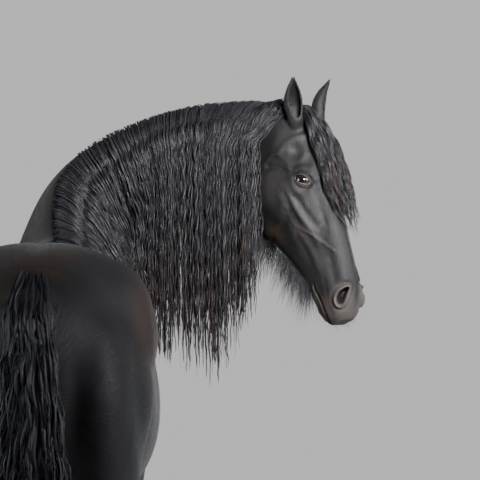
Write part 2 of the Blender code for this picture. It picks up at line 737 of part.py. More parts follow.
def flesh_pieces():
    """Head, neck, trunk and legs: the one body, cut apart on flat planes with a gap between them."""
    flesh = thinned("flesh", flesh_mesh(), 40000)
    pieces = {}
    head = thinned("head", cut("head", flesh.copy(), head_block(ROUGH), "INTERSECT"), TRIANGLES["head"])
    head = cut("head", head, head_block(), "INTERSECT")
    for side in (-1, 1):
        head = cut("head", head, eye_mesh(EYE_RADIUS + GAP, side), "DIFFERENCE")
    pieces["head"] = largest(head)
    neck = cut("neck", flesh.copy(), head_block(-ROUGH), "DIFFERENCE")
    neck = cut("neck", neck, trunk_block(-ROUGH), "DIFFERENCE")
    neck = thinned("neck", largest(neck), TRIANGLES["neck"])
    neck = cut("neck", neck, head_block(GAP), "DIFFERENCE")
    pieces["neck"] = largest(cut("neck", neck, trunk_block(GAP), "DIFFERENCE"))
    trunk = cut("trunk", flesh.copy(), trunk_block(ROUGH), "INTERSECT")
    for name in STEP:
        trunk = cut("trunk", trunk, leg_block(name, -ROUGH), "DIFFERENCE")
    trunk = thinned("trunk", largest(trunk), TRIANGLES["trunk"])
    trunk = cut("trunk", trunk, trunk_block(), "INTERSECT")
    for name in STEP:
        trunk = cut("trunk", trunk, leg_block(name, GAP), "DIFFERENCE")
    pieces["trunk"] = largest(trunk)
    for name in STEP:
        leg = cut(name, flesh.copy(), leg_block(name, ROUGH), "INTERSECT")
        leg = thinned(name, largest(leg), TRIANGLES["leg"])
        leg = cut(name, leg, leg_block(name), "INTERSECT")
        pieces[node_name("leg", name)] = largest(cut(name, leg, ground_block(foot_place(name)), "DIFFERENCE"))
    return pieces


def node_name(part, foot):
    """foreleg_left, hindleg_right, hoof_front_left and so on."""
    end, side = foot.split("_")
    if part == "leg":
        return ("fore" if end == "front" else "hind") + "leg_" + side
    return part + "_" + foot


def material(name, colour, roughness):
    look = bpy.data.materials.new(name)
    look.use_nodes = True
    shader = look.node_tree.nodes["Principled BSDF"]
    shader.inputs["Base Color"].default_value = (*colour, 1)
    shader.inputs["Roughness"].default_value = roughness
    shader.inputs["Metallic"].default_value = 0.0
    return look


def main():
    for obj in list(bpy.data.objects):
        bpy.data.objects.remove(obj)
    pieces = flesh_pieces()
    ear = ear_mesh()
    for side, mesh in (("left", mirrored(ear)), ("right", ear)):
        mesh.transform(head_matrix())
        pieces["ear_" + side] = fitted("ear", mesh, [pieces["head"]])
        pieces["eye_" + side] = eye_mesh(EYE_RADIUS, 1 if side == "right" else -1)
    for name in STEP:
        foot = foot_place(name)
        pieces[node_name("hoof", name)] = hoof_mesh(foot)
        feather = cut("feather", feather_mesh(foot, STEP[name]), hoof_mesh(foot, CLEAR), "DIFFERENCE")
        pieces[node_name("feather", name)] = fitted("feather", feather, [pieces[node_name("leg", name)]])
    under = [pieces[name] for name in ("neck", "trunk", "head", "ear_left", "ear_right")]
    pieces["mane"] = fitted("mane", mane_mesh(), under)
    forelock = forelock_mesh()
    forelock.transform(head_matrix())
    under = [pieces[name] for name in ("head", "ear_left", "ear_right", "mane")]
    pieces["forelock"] = fitted("forelock", forelock, under)
    pieces["tail"] = fitted("tail", tail_mesh(), [pieces["trunk"]])

    points = np.vstack([points_of(mesh) for mesh in pieces.values()])
    low, high = points.min(0), points.max(0)
    shift = Matrix.Translation((-(low[0] + high[0]) / 2, -(low[1] + high[1]) / 2, -low[2]))
    for name, mesh in pieces.items():
        mesh.transform(shift)
        obj = placed(name, mesh)
        colour, roughness = LOOKS[name.split("_")[0]]
        obj.data.materials.clear()
        obj.data.materials.append(material(name, colour, roughness))
        for face in obj.data.polygons:
            face.use_smooth = False


main()
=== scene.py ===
import json
from math import copysign, cos, hypot, pi, prod, radians, sin, sqrt

import bmesh
import bpy
import numpy as np
from mathutils import Matrix, Vector
from mathutils.bvhtree import BVHTree

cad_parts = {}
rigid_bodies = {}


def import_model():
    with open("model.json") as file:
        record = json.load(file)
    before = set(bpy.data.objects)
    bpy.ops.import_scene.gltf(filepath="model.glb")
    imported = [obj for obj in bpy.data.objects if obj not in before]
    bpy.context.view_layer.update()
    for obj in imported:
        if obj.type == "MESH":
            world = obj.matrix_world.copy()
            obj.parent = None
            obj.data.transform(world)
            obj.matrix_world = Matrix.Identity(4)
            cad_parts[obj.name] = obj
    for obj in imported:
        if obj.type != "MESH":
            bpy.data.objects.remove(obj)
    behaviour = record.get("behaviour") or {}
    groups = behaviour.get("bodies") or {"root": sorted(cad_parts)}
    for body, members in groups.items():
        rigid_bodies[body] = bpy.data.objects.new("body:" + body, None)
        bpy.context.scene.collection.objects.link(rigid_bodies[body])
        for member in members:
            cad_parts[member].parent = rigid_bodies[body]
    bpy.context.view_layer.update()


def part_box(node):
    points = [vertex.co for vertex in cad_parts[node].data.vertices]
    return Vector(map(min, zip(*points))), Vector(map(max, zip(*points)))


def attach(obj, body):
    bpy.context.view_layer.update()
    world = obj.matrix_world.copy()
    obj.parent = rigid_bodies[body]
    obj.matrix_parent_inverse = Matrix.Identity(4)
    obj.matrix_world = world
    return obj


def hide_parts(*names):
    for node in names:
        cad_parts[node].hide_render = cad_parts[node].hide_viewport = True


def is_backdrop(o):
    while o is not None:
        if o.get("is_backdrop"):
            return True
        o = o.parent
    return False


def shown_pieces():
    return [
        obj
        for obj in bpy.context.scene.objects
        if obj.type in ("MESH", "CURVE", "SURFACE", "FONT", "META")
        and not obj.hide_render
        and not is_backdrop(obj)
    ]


for leftover in list(bpy.data.objects):
    bpy.data.objects.remove(leftover)
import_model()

horse = {
    "poll": Vector((0.71, 0.7, 1.985)),  # top of the head, between the ears
    "yaw": 128,  # head's turn in degrees, clockwise from the trunk
    "pitch": 67,  # nose below the horizontal
    "bodyGrain": 0.0136,  # size of the skin's faces on the body
    "headGrain": 0.0039,
    "coatDepth": 0.003,  # how far the skin lies inside the solids
    "headCoatDepth": 0.0012,
}
# The tables are in millimetres. The trunk's: along, half width, height of the widest point, top, bottom,
# and a hundred times the fullness above and below.
trunkRows = [
    (-815, 45, 1270, 1330, 1210, 200, 200), (-785, 110, 1265, 1410, 1110, 200, 200),
    (-720, 180, 1265, 1482, 1015, 210, 200), (-600, 238, 1270, 1550, 975, 220, 200),
    (-450, 262, 1300, 1587, 945, 230, 200), (-300, 263, 1310, 1597, 925, 230, 200),
    (-150, 260, 1240, 1570, 892, 220, 210), (0, 283, 1180, 1542, 862, 210, 220),
    (150, 296, 1150, 1532, 842, 200, 220), (300, 292, 1140, 1565, 836, 185, 220),
    (420, 276, 1140, 1605, 846, 170, 210), (520, 258, 1150, 1620, 870, 160, 210),
    (620, 240, 1160, 1570, 900, 170, 210), (710, 214, 1165, 1440, 940, 190, 210),
    (785, 165, 1150, 1300, 1000, 200, 200), (835, 85, 1140, 1210, 1065, 200, 200),
]
# crest point, throat point, half width, widest point's share of the height in thousandths
neckRows = [
    (0, 320, 1540, 0, 660, 980, 190, 420), (-8, 480, 1622, 0, 835, 1105, 190, 410),
    (-15, 600, 1700, 25, 920, 1260, 166, 420), (0, 710, 1790, 80, 975, 1405, 142, 440),
    (70, 800, 1870, 165, 990, 1525, 122, 450), (200, 870, 1940, 273, 970, 1612, 109, 460),
    (360, 890, 1985, 392, 910, 1680, 100, 470), (506, 850, 1998, 490, 850, 1712, 94, 480),
    (615, 775, 1990, 570, 795, 1735, 86, 500), (680, 715, 1965, 635, 745, 1770, 66, 500),
]
# in the head's axes: along, top, bottom, then half widths at a tenth, three, five, seven, nine tenths down
headRows = [
    (-35, -30, -190, 40, 60, 66, 60, 38), (20, -4, -235, 50, 74, 80, 76, 52),
    (90, 10, -298, 56, 83, 86, 86, 66), (150, 16, -326, 64, 94, 90, 88, 66),
    (212, 12, -322, 74, 100, 91, 83, 58), (270, 3, -296, 61, 86, 87, 73, 47),
    (328, -7, -262, 47, 67, 73, 60, 39), (396, -17, -228, 39, 53, 57, 47, 33),
    (464, -26, -202, 35, 46, 48, 40, 30), (522, -36, -192, 35, 50, 50, 41, 31),
    (570, -52, -190, 36, 53, 53, 43, 30), (604, -74, -180, 31, 47, 48, 37, 23),
    (622, -98, -162, 20, 32, 33, 26, 14),
]
# height, out from the middle plane, along, half width, half depth
foreRows = [
    (1400, 120, 520, 50, 100), (1250, 158, 575, 84, 150), (1120, 172, 605, 88, 160),
    (1000, 170, 575, 82, 145), (910, 165, 548, 74, 118), (820, 160, 540, 64, 92), (720, 156, 540, 54, 72),
    (610, 152, 542, 45, 56), (535, 150, 545, 47, 53), (480, 150, 547, 50, 54), (430, 150, 543, 44, 49),
    (370, 150, 536, 36, 45), (290, 150, 534, 33, 43), (230, 150, 532, 36, 45), (185, 150, 534, 38, 47),
    (140, 150, 552, 34, 41), (95, 150, 578, 42, 50), (50, 150, 596, 48, 56),
]
hindRows = [
    (1480, 110, -470, 60, 150), (1380, 145, -495, 100, 230), (1240, 158, -510, 110, 268),
    (1100, 160, -490, 110, 262), (1000, 160, -465, 103, 232), (910, 157, -475, 89, 178),
    (820, 153, -520, 72, 130), (730, 150, -575, 57, 96), (655, 148, -628, 47, 78), (595, 148, -655, 49, 71),
    (530, 148, -663, 47, 60), (470, 148, -672, 38, 49), (390, 148, -678, 35, 47), (300, 148, -680, 34, 45),
    (240, 148, -682, 37, 46), (190, 148, -680, 39, 48), (145, 148, -660, 35, 42), (95, 148, -632, 42, 50),
    (50, 148, -614, 48, 56),
]
# along, height, radius
dockRows = [
    (-640, 1510, 30), (-730, 1470, 48), (-795, 1410, 42),
    (-828, 1330, 34), (-842, 1240, 26), (-848, 1150, 14),
]
feet = {"front_left": -0.045, "front_right": 0.035, "hind_left": 0.11, "hind_right": -0.04}  # steps ahead
stepTop = 1.05  # height above which a step no longer moves the leg
soleAhead = 0.03  # how far the sole's middle stands ahead of the leg's lower end
legTops = (0.86, 0.9)  # where the legs' regions end, fore and hind
shoulder, shoulderWay = (0, 0.58, 1.4), (0.2, 0.75, 0.62)  # the plane where the neck's region begins
trunkMiddle = 1.22  # height of the axis that the trunk is unwrapped around
tuftPatch = 0.003  # side of a strand's patch on the unwrap
floorGap = 0.004  # hair ends above this height
seamReach = 0.035  # how far the join of head and body is evened out


def lengths(vectors):
    return np.linalg.norm(vectors, axis=-1)


def unit(vectors):
    return vectors / np.maximum(lengths(vectors)[..., None], 1e-9)


def smoothstep(x, low=0.0, high=1.0):
    t = np.clip((x - low) / (high - low), 0, 1)
    return t * t * (3 - 2 * t)


def peak(x, middle, width):  # a soft ridge across x
    return np.exp(-(((x - middle) / width) ** 2))


def through(rows, between):  # the rows joined by a smooth curve
    rows = np.array(rows, float)
    led = np.vstack([2 * rows[0] - rows[1], rows, 2 * rows[-1] - rows[-2]])
    t = (np.arange(between) / between)[:, None]
    runs = [
        b + 0.5 * t * (c - a + t * (2 * a - 5 * b + 4 * c - d + t * (3 * (b - c) + d - a)))
        for a, b, c, d in zip(led, led[1:], led[2:], led[3:])
    ]
    return np.vstack([*runs, rows[-1:]])


def metres(rows):
    return np.array(rows, float) / 1000


def oval(sides, width, rise, fall, fullAbove=2.0, fullBelow=2.0):
    points = []
    for k in range(sides):
        angle = 2 * pi * k / sides
        c, s = cos(angle), sin(angle)
        power = 2 / (fullAbove if s > 0 else fullBelow)
        reach = rise if s > 0 else fall
        points.append((width * copysign(abs(c) ** power, c), reach * copysign(abs(s) ** power, s)))
    return points


def meshFrom(name, bm):
    mesh = bpy.data.meshes.new(name)
    bm.to_mesh(mesh)
    bm.free()
    return mesh


def opened(*meshes):
    bm = bmesh.new()
    for mesh in meshes:
        bm.from_mesh(mesh)
    return bm


def bridged(bm, rings):  # walls through rings of points; gives back the edges of each ring
    loops = []
    for ring in rings:
        verts = [bm.verts.new(p) for p in ring]
        loops.append([bm.edges.new((v, verts[k - 1])) for k, v in enumerate(verts)])
    for lower, upper in zip(loops, loops[1:]):
        bmesh.ops.bridge_loops(bm, edges=lower + upper)
    bmesh.ops.holes_fill(bm, edges=loops[0])
    return loops


def loft(name, rings):  # a closed solid through rings of points
    bm = bmesh.new()
    bmesh.ops.holes_fill(bm, edges=bridged(bm, rings)[-1])
    bmesh.ops.recalc_face_normals(bm, faces=bm.faces)
    return meshFrom(name, bm)


def placed(name, data):
    piece = bpy.data.objects.new(name, data)
    bpy.context.scene.collection.objects.link(piece)
    return piece


def fused(name, meshes, voxel):  # the outer surface of several overlapping solids, as one even mesh
    piece = placed(name, meshFrom(name, opened(*meshes)))
    remesh = piece.modifiers.new("fuse", "REMESH")
    remesh.mode = "VOXEL"
    remesh.voxel_size = voxel
    graph = bpy.context.evaluated_depsgraph_get()
    mesh = bpy.data.meshes.new_from_object(piece.evaluated_get(graph), depsgraph=graph)
    bpy.data.objects.remove(piece)
    return mesh


def listed(items, name, width=1, kind=float):  # one property of all vertices, edges, faces or corners
    values = np.empty(len(items) * width, kind)
    items.foreach_get(name, values)
    return values.reshape(-1, width) if width > 1 else values


def setPoints(mesh, points):
    mesh.vertices.foreach_set("co", np.ascontiguousarray(points).ravel())
    mesh.update()


def pointsOf(mesh):
    return listed(mesh.vertices, "co", 3)


def normalsOf(mesh):
    return listed(mesh.vertex_normals, "vector", 3)


def relax(mesh, rounds, share=None):  # evens the surface out and keeps the girth of thin parts
    points = pointsOf(mesh)
    a, b = listed(mesh.edges, "vertices", 2, np.int64).T
    count = np.bincount(np.r_[a, b], minlength=len(points))[:, None]
    share = 1.0 if share is None else share[:, None]
    for _ in range(rounds):
        for pull in (0.5, -0.45):
            total = np.zeros_like(points)
            for axis in range(3):
                total[:, axis] = np.bincount(a, points[b, axis], len(points))
                total[:, axis] += np.bincount(b, points[a, axis], len(points))
            points += share * pull * (total / count - points)
    setPoints(mesh, points)


def moved(points, matrix):
    m = np.array(matrix)
    return points @ m[:3, :3].T + m[:3, 3]


def nearness(points, places):  # 1 at the middle of each place, 0 or less outside it, with its last column
    for row in places:
        yield 1 - (((points - row[:3]) / row[3:6]) ** 2).sum(1), row[-1]


def bothSides(places):  # from millimetres, with each place mirrored
    rows = metres(places)
    return np.vstack([rows, rows * np.r_[-1, np.ones(rows.shape[1] - 1)]])


def swell(mesh, places, toWorld=None):  # soft mounds, or hollows where the height is negative
    points = pointsOf(mesh)
    normals = normalsOf(mesh)
    local = points if toWorld is None else moved(points, toWorld.inverted())
    for near, height in nearness(local, bothSides(places)):
        points += normals * (height * np.clip(near, 0, None) ** 2)[:, None]
    setPoints(mesh, points)


headMatrix = (
    Matrix.Translation(horse["poll"])
    @ Matrix.Rotation(-radians(horse["yaw"]), 4, "Z")
    @ Matrix.Rotation(-radians(horse["pitch"]), 4, "X")
)
toHead = headMatrix.inverted()
eye = {
    "place": Vector((0.0768, 0.212, -0.0489)),
    "radius": 0.024,
    "halfLength": 0.0224,
    "upper": 0.0132,
    "lower": 0.0092,
    "lid": 0.0026,
}
# Shapes are laid out from the trunk's middle, as in the CAD source, then moved by this to the model's frame
low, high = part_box("eye_right")
shift = (Vector(low) + Vector(high)) / 2 - headMatrix @ eye["place"]
shiftRow = np.array(shift)
print("tables ready, shift", [round(v, 4) for v in shift])


def lofted(name, rows, between, ringAt):
    return loft(name, [ringAt(*row) for row in through(rows, between)])


def trunkMesh():
    rows = metres(trunkRows)
    rows[:, 5:] *= 10  # fullness is in hundredths

    def ringAt(along, width, wideAt, top, bottom, above, below):
        section = oval(56, width, top - wideAt, wideAt - bottom, above, below)
        return [(x, along, wideAt + z) for x, z in section]

    return lofted("trunk", rows, 5, ringAt)


def neckFrames(between):  # middle, way across, way up, half width, height above and below the middle
    rows = through(metres(neckRows), between)
    crests, throats = rows[:, :3], rows[:, 3:6]
    headings = np.gradient((crests + throats) / 2, axis=0)
    frames = []
    for crest, throat, heading, (width, share) in zip(crests, throats, headings, rows[:, 6:]):
        up = Vector(crest - throat)
        across = Vector(heading).cross(up).normalized()
        middle = Vector(throat) + up * share
        frames.append((middle, across, up.normalized(), width, up.length * (1 - share), up.length * share))
    return frames


def neckMesh(first=0):
    rings = []
    for middle, across, up, width, rise, fall in neckFrames(5)[first * 5 :]:
        rings.append([middle + across * x + up * z for x, z in oval(48, width, rise, fall, 1.75, 2.1)])
    return loft("neck", rings)


def headMesh():
    def ringAt(along, top, bottom, *widths):
        right = [(w, along, top + (bottom - top) * h) for w, h in zip(widths, (0.1, 0.3, 0.5, 0.7, 0.9))]
        left = [(-x, y, z) for x, y, z in reversed(right)]
        outline = [(0, along, top), *right, (0, along, bottom), *left]
        ring = through([*outline[-2:], *outline, *outline[:3]], 5)[10:-15]
        return ring[:-1] if np.allclose(ring[0], ring[-1]) else ring

    return lofted("head", metres(headRows), 5, ringAt)


ear = {
    "length": 0.131,
    "base": Vector((0.054, 0.036, -0.022)),
    "axis": Vector((0.22, -0.86, 0.4)).normalized(),
    "front": Vector((0.45, 0.42, 0.8)),
    "wall": 0.0086,
}
# in thousandths: share of the length, radius, lean to the opening; how far round the cup closes in degrees
earRows = [
    (-400, 10, 0, 180), (-200, 17, 0, 180), (0, 23.5, 1, 180), (110, 25.5, 0, 170), (190, 27.2, -2, 152),
    (330, 30, -4, 138), (520, 28.5, -2, 128), (720, 21.5, 3, 124), (880, 12.5, 10, 128),
    (1000, 5.8, 15, 130),
]
earFront = (ear["front"] - ear["axis"] * ear["front"].dot(ear["axis"])).normalized()
earAcross = earFront.cross(ear["axis"])
earBase, earAxis = np.array(ear["base"]), np.array(ear["axis"])


def earMesh(side, arc=21):
    def ringAt(part, radius, lean, opening):
        middle = ear["base"] + ear["axis"] * ear["length"] * part + earFront * lean
        wall = min(ear["wall"], radius * 0.95)
        turns = np.radians(np.linspace(-opening, opening, arc))
        ways = [earAcross * sin(turn) - earFront * cos(turn) * 0.8 for turn in turns]
        inner = [middle + way * (radius - wall) for way in reversed(ways)]
        return [(side * p.x, p.y, p.z) for p in [middle + way * radius for way in ways] + inner]

    return lofted("ear", np.array(earRows) / (1000, 1000, 1000, 1), 6, ringAt)


def legRows(name):
    return metres(foreRows if name.startswith("front") else hindRows)


def legSide(name):
    return 1 if name.endswith("right") else -1


def legMesh(name):
    def ringAt(height, out, along, width, depth):
        along += feet[name] * max(0.0, 1 - height / stepTop)
        return [(legSide(name) * (out + x), along + y, height) for x, y in oval(32, width, depth, depth)]

    return lofted("leg", legRows(name), 5, ringAt)


def dockMesh():
    circle = oval(20, 1, 1, 1)
    rows = metres(dockRows)
    return lofted("dock", rows, 4, lambda along, h, r: [(r * x, along + r * y, h) for x, y in circle])


# where the lofts blend into each other, for the right side: centre, radii
softPlaces = [
    (150, -450, 1420, 200, 420, 220), (120, -720, 1200, 160, 160, 300), (220, -260, 1080, 120, 160, 220),
    (150, 620, 1360, 200, 220, 240), (100, 800, 1150, 160, 140, 240), (200, 420, 1100, 120, 140, 260),
    (50, 420, 1600, 120, 200, 120), (120, 520, 900, 100, 140, 80), (100, -400, 950, 80, 200, 80),
]
# muscles and hollows: centre, radii, height
bodyShape = [
    (160, -380, 1500, 170, 260, 170, 14), (160, -720, 1200, 100, 150, 260, 14),
    (250, -280, 1000, 90, 100, 120, 14), (270, -160, 1240, 90, 150, 200, -8),
    (270, -360, 1360, 70, 70, 80, 10), (210, 440, 950, 70, 70, 80, 16), (250, 480, 1120, 100, 140, 180, 16),
    (200, 620, 1340, 120, 90, 260, 12), (250, 360, 1340, 100, 140, 220, -9),
    (100, 840, 1130, 90, 100, 130, 18), (0, 860, 1100, 30, 100, 160, -4), (200, -540, 840, 80, 100, 140, 12),
    (210, 580, 800, 60, 80, 120, 10), (0, -400, 1620, 30, 320, 80, -4),
    (190, 500, 500, 30, 50, 60, 4), (180, -700, 600, 40, 50, 80, 4), (230, -380, 1430, 130, 260, 180, 40),
    (270, -420, 1240, 110, 220, 220, 35), (220, 0, 1420, 120, 300, 150, 20),
]
# finer ones that only the skin has
bodyDetail = [
    (300, 120, 1200, 70, 34, 200, 1.6), (300, 30, 1180, 70, 34, 190, 1.6),
    (290, -60, 1160, 70, 34, 180, 1.4), (170, -600, 1040, 100, 80, 220, -4.5),
    (110, -790, 1140, 28, 70, 240, -5), (240, 550, 1240, 70, 70, 200, -3), (220, 660, 1120, 90, 70, 60, 6),
    (160, 780, 1300, 70, 110, 45, -5.5), (220, 500, 860, 40, 32, 130, -3),
    (240, 220, 930, 60, 200, 35, 2.2), (160, -560, 740, 50, 24, 110, -5), (150, -735, 660, 30, 30, 100, 5),
    (180, 545, 490, 20, 30, 40, 5), (130, 550, 490, 20, 30, 40, 4), (150, 495, 460, 30, 20, 30, 5),
    (40, 740, 1000, 30, 100, 60, 5),
]
headShape = [
    (72, 124, -44, 30, 34, 26, -12), (70, 160, -18, 24, 30, 24, -4), (84, 178, -44, 30, 18, 30, 5),
    (92, 214, -30, 34, 40, 22, 6), (94, 222, -74, 34, 44, 22, 5), (88, 170, -180, 40, 100, 90, 8),
    (80, 306, -210, 35, 50, 60, -7), (80, 290, -96, 30, 85, 18, 5), (55, 330, -60, 30, 80, 30, -4),
    (60, 400, -140, 30, 80, 30, -5), (48, 562, -69, 30, 46, 40, 8), (38, 516, -46, 30, 50, 30, 3),
    (46, 526, -34, 22, 32, 26, 5), (34, 530, -176, 34, 34, 14, 5), (0, 560, -186, 30, 30, 16, 3),
    (0, 612, -105, 30, 24, 34, 2), (0, 632, -176, 52, 36, 26, -14), (0, 130, 14, 40, 110, 20, 2),
]


def bodyFlesh():
    head = headMesh()
    head.transform(headMatrix)
    parts = [trunkMesh(), neckMesh(), head, dockMesh(), *map(legMesh, feet)]
    flesh = fused("flesh", parts, horse["bodyGrain"])
    relax(flesh, 5)
    soft = [near for near, _ in nearness(pointsOf(flesh), bothSides(softPlaces))]
    relax(flesh, 40, np.clip(1.6 * np.max(soft, axis=0), 0, 1))
    swell(flesh, bodyShape)
    swell(flesh, headShape, headMatrix)
    swell(flesh, bodyDetail)
    relax(flesh, 1)
    return flesh


# Lines on the side of the head: radius, height, then points along and out of the brow. They are the facial
# crest, veins, the cheek's front edge, folds of the brow and edges of the nose.
faceLines = [
    (10.5, 5, 228, -98, 262, -97, 300, -94, 352, -89, 392, -86),
    (4.2, 3.3, 343, -108, 356, -98, 370, -86, 388, -76, 408, -64, 430, -52),
    (5.5, -1.2, 356, -88, 376, -75, 396, -65, 420, -55),
    (4.6, 1.6, 262, -126, 292, -134, 318, -128, 343, -108),
    (4.6, 1.8, 318, -128, 338, -146, 352, -176, 350, -214),
    (13, 4.8, 236, -128, 262, -140, 284, -172, 292, -206, 290, -246),
    (12, -4.6, 280, -130, 298, -150, 310, -178, 312, -210, 308, -250),
    (10, -3.8, 236, -22, 285, -32, 345, -44),
    (12, 2.6, 246, -66, 285, -64, 330, -60),
    (10, -2.6, 250, -82, 292, -80, 336, -75),
    (13, 2.6, 352, -122, 400, -120, 456, -118),
    (10, 5.8, 118, -152, 106, -118, 112, -94, 134, -78, 164, -70),
    (9, -4, 128, -138, 146, -106, 178, -88),
    (11, 4.2, 104, -90, 88, -64, 82, -36, 86, -10),
    (11, -3, 445, -70, 478, -76, 512, -80),
    (7, -1.6, 500, -112, 530, -118, 566, -122, 596, -122),
]
mouthLine = (486, -158, 500, -161, 520, -157, 546, -151, 575, -148, 606, -150, 640, -154)


def nearestOn(a, b, flat):  # the nearest point of a straight run to each of many points, and its distance
    run = b - a
    spot = a + np.clip(((flat - a) @ run) / (run @ run), 0, 1)[:, None] * run
    return spot, lengths(flat - spot)


def lineDistance(points, line):  # seen from the side of the head
    rows = through(metres(line).reshape(-1, 2), 6)
    return np.min([nearestOn(a, b, points[:, 1:])[1] for a, b in zip(rows, rows[1:])], axis=0)


def outlineDistance(flat, outline):  # signed: negative inside; and the nearest point on the outline
    best = np.full(len(flat), 1e9)
    nearest = np.zeros_like(flat)
    inside = np.zeros(len(flat), bool)
    for a, b in zip(outline, np.roll(outline, -1, axis=0)):
        spot, gap = nearestOn(a, b, flat)
        closer = gap < best
        best[closer] = gap[closer]
        nearest[closer] = spot[closer]
        crosses = (a[1] > flat[:, 1]) != (b[1] > flat[:, 1])
        with np.errstate(divide="ignore", invalid="ignore"):
            hit = a[0] + (flat[:, 1] - a[1]) * (b - a)[0] / (b - a)[1]
        inside ^= crosses & (flat[:, 0] < hit)
    return np.where(inside, -best, best), nearest


def axesFrom(out, along):  # outwards, along, and square to both, upwards
    out = out.normalized()
    along = (along - out * along.dot(out)).normalized()
    third = out.cross(along)
    return [np.array(v) for v in (out, along, third if third.z > 0 else -third)]


nostril = {
    "place": (0.047, 0.56, -0.072),
    "halfLength": 0.029,
    "halfWidth": 0.013,
    "depth": 0.03,
    "rim": 0.008,
}
eyeAxes = axesFrom(Vector((0.93, 0.02, 0.36)), Vector((0, 0.72, 0.69)))
nostrilAxes = axesFrom(Vector((0.8, 0.3, 0.46)), Vector((0.05, 0.555, -0.832)))
eyePlace = np.array(eye["place"])


def spread(place, axes, p, q, rise):  # points from their places along, up and out
    out, along, up = axes
    return place + np.outer(p, along) + np.outer(q, up) + np.outer(rise, out)


def folded(points):  # the left side laid on the right
    return np.c_[np.abs(points[:, 0]), points[:, 1:]]


def openingOutline(kind, count=96):
    angles = np.linspace(0, 2 * pi, count, endpoint=False)
    c, s = np.cos(angles), np.sin(angles)
    if kind == "nostril":  # a comma
        return np.c_[nostril["halfLength"] * c, nostril["halfWidth"] * (1 + 0.35 * c) * s + 0.0055 * c**2]
    length = eye["halfLength"] * np.where(c > 0, 1.08, 1) * c
    height = np.where(s > 0, eye["upper"], -eye["lower"]) * np.abs(s) ** 1.25
    return np.c_[length, height + 0.1 * length]


# folds of the lids: height, more of it on the upper lid, distance from the edge, width
lidFolds = [
    (-0.001, -0.0014, 0.0066, 0.0012), (0.0007, 0.0016, 0.0096, 0.0018),
    (-0.0007, -0.0006, 0.0131, 0.0011), (0, 0.0012, 0.016, 0.0022),
]


def eyeSurface(p, q, d, skinHeight):  # how far out the lids stand, at a distance d outside their edge
    square = p * p + q * q
    upper = smoothstep(q - 0.1 * p, -0.004, 0.004)
    lid = eye["radius"] + eye["lid"]
    ball = np.sqrt(np.maximum(lid**2 - square, (lid * 0.42) ** 2))
    fade = smoothstep(d, 0.0015, 0.0165)
    shape = ball * (1 - fade) + skinHeight * fade
    shape -= 0.0012 * np.clip(1 - d / 0.002, 0, 1) ** 2
    for height, more, place, width in lidFolds:
        shape += (height + more * upper) * peak(d, place, width)
    return np.maximum(shape, np.sqrt(np.maximum((eye["radius"] + 0.0019) ** 2 - square, 0)))


def keepOnly(bm, gone):
    bmesh.ops.delete(bm, geom=gone, context="FACES")
    bmesh.ops.delete(bm, geom=[v for v in bm.verts if not v.link_faces], context="VERTS")


def insertEye(bm, tree, side, count=112, hole=0.0335):  # cuts a hole in the head and closes it with lids
    flip = (side, 1, 1)
    out, along, up = eyeAxes
    gone = []
    for face in bm.faces:
        rel = np.array(face.calc_center_median()) * flip - eyePlace
        if abs(rel[0]) < 0.05 and hypot(rel @ along, rel @ up) < hole and rel @ out > -0.004:
            gone.append(face)
    keepOnly(bm, gone)
    border = [e for e in bm.edges if e.is_boundary]
    outline = openingOutline("eye", count)
    angles = np.linspace(0, 2 * pi, count, endpoint=False)
    circle = (hole - 0.0034) * np.c_[np.cos(angles), np.sin(angles)]
    rings = []
    for share, drop in ((0.55, 0.008), (0.8, 0.0062), (0.91, 0.0044), (0.965, 0.0026), (0.99, 0.001)):
        p, q = (outline * share).T
        lid = np.sqrt(np.maximum((eye["radius"] + eye["lid"]) ** 2 - p * p - q * q, 0.0001))
        rings.append(spread(eyePlace, eyeAxes, p, q, lid - 0.0012 - drop))
    for step in np.linspace(0, 1, 27):
        flat = outline + (circle - outline) * step**1.25
        d = np.maximum(outlineDistance(flat, outline)[0], 0) if step else np.zeros(count)
        height = []
        for start in spread(eyePlace, eyeAxes, *flat.T, np.full(count, 0.06)) * flip:
            spot = tree.ray_cast(Vector(start), Vector(-out * flip))[0]
            height.append((np.array(spot) * flip - eyePlace) @ out if spot else 0.012)
        rings.append(spread(eyePlace, eyeAxes, *flat.T, eyeSurface(*flat.T, d, np.array(height))))
    outer = bridged(bm, [ring * flip for ring in rings])[-1]
    bmesh.ops.bridge_loops(bm, edges=outer + border)


def shapeNostril(points, side):
    flip = (side, 1, 1)
    local = points * flip
    rel = local - nostril["place"]
    h, p, q = (rel @ axis for axis in nostrilAxes)
    near = (np.hypot(p, q) < 0.05) & (h > -0.03) & (local[:, 0] > 0.002)
    flat, h = np.c_[p, q][near], h[near]
    d, nearest = outlineDistance(flat, openingOutline("nostril"))
    snap = np.abs(d) < 0.0007
    flat[snap] = nearest[snap]
    d[snap] = 0
    rim = nostril["rim"] * peak(d, 0.0042, 0.0041) - 0.0028 * peak(d, 0.014, 0.0042)
    rim -= 0.0014 * np.clip(1 - d / 0.0024, 0, 1) ** 2
    shape = h + rim * smoothstep(0.05 - np.hypot(*flat.T), 0, 0.012)
    well = nostril["depth"] * smoothstep(-d, 0, 0.0075) + 0.004 * smoothstep(-d, 0, 0.001)
    local[near] = spread(nostril["place"], nostrilAxes, *flat.T, np.where(d < 0, shape - well, shape))
    return local * flip


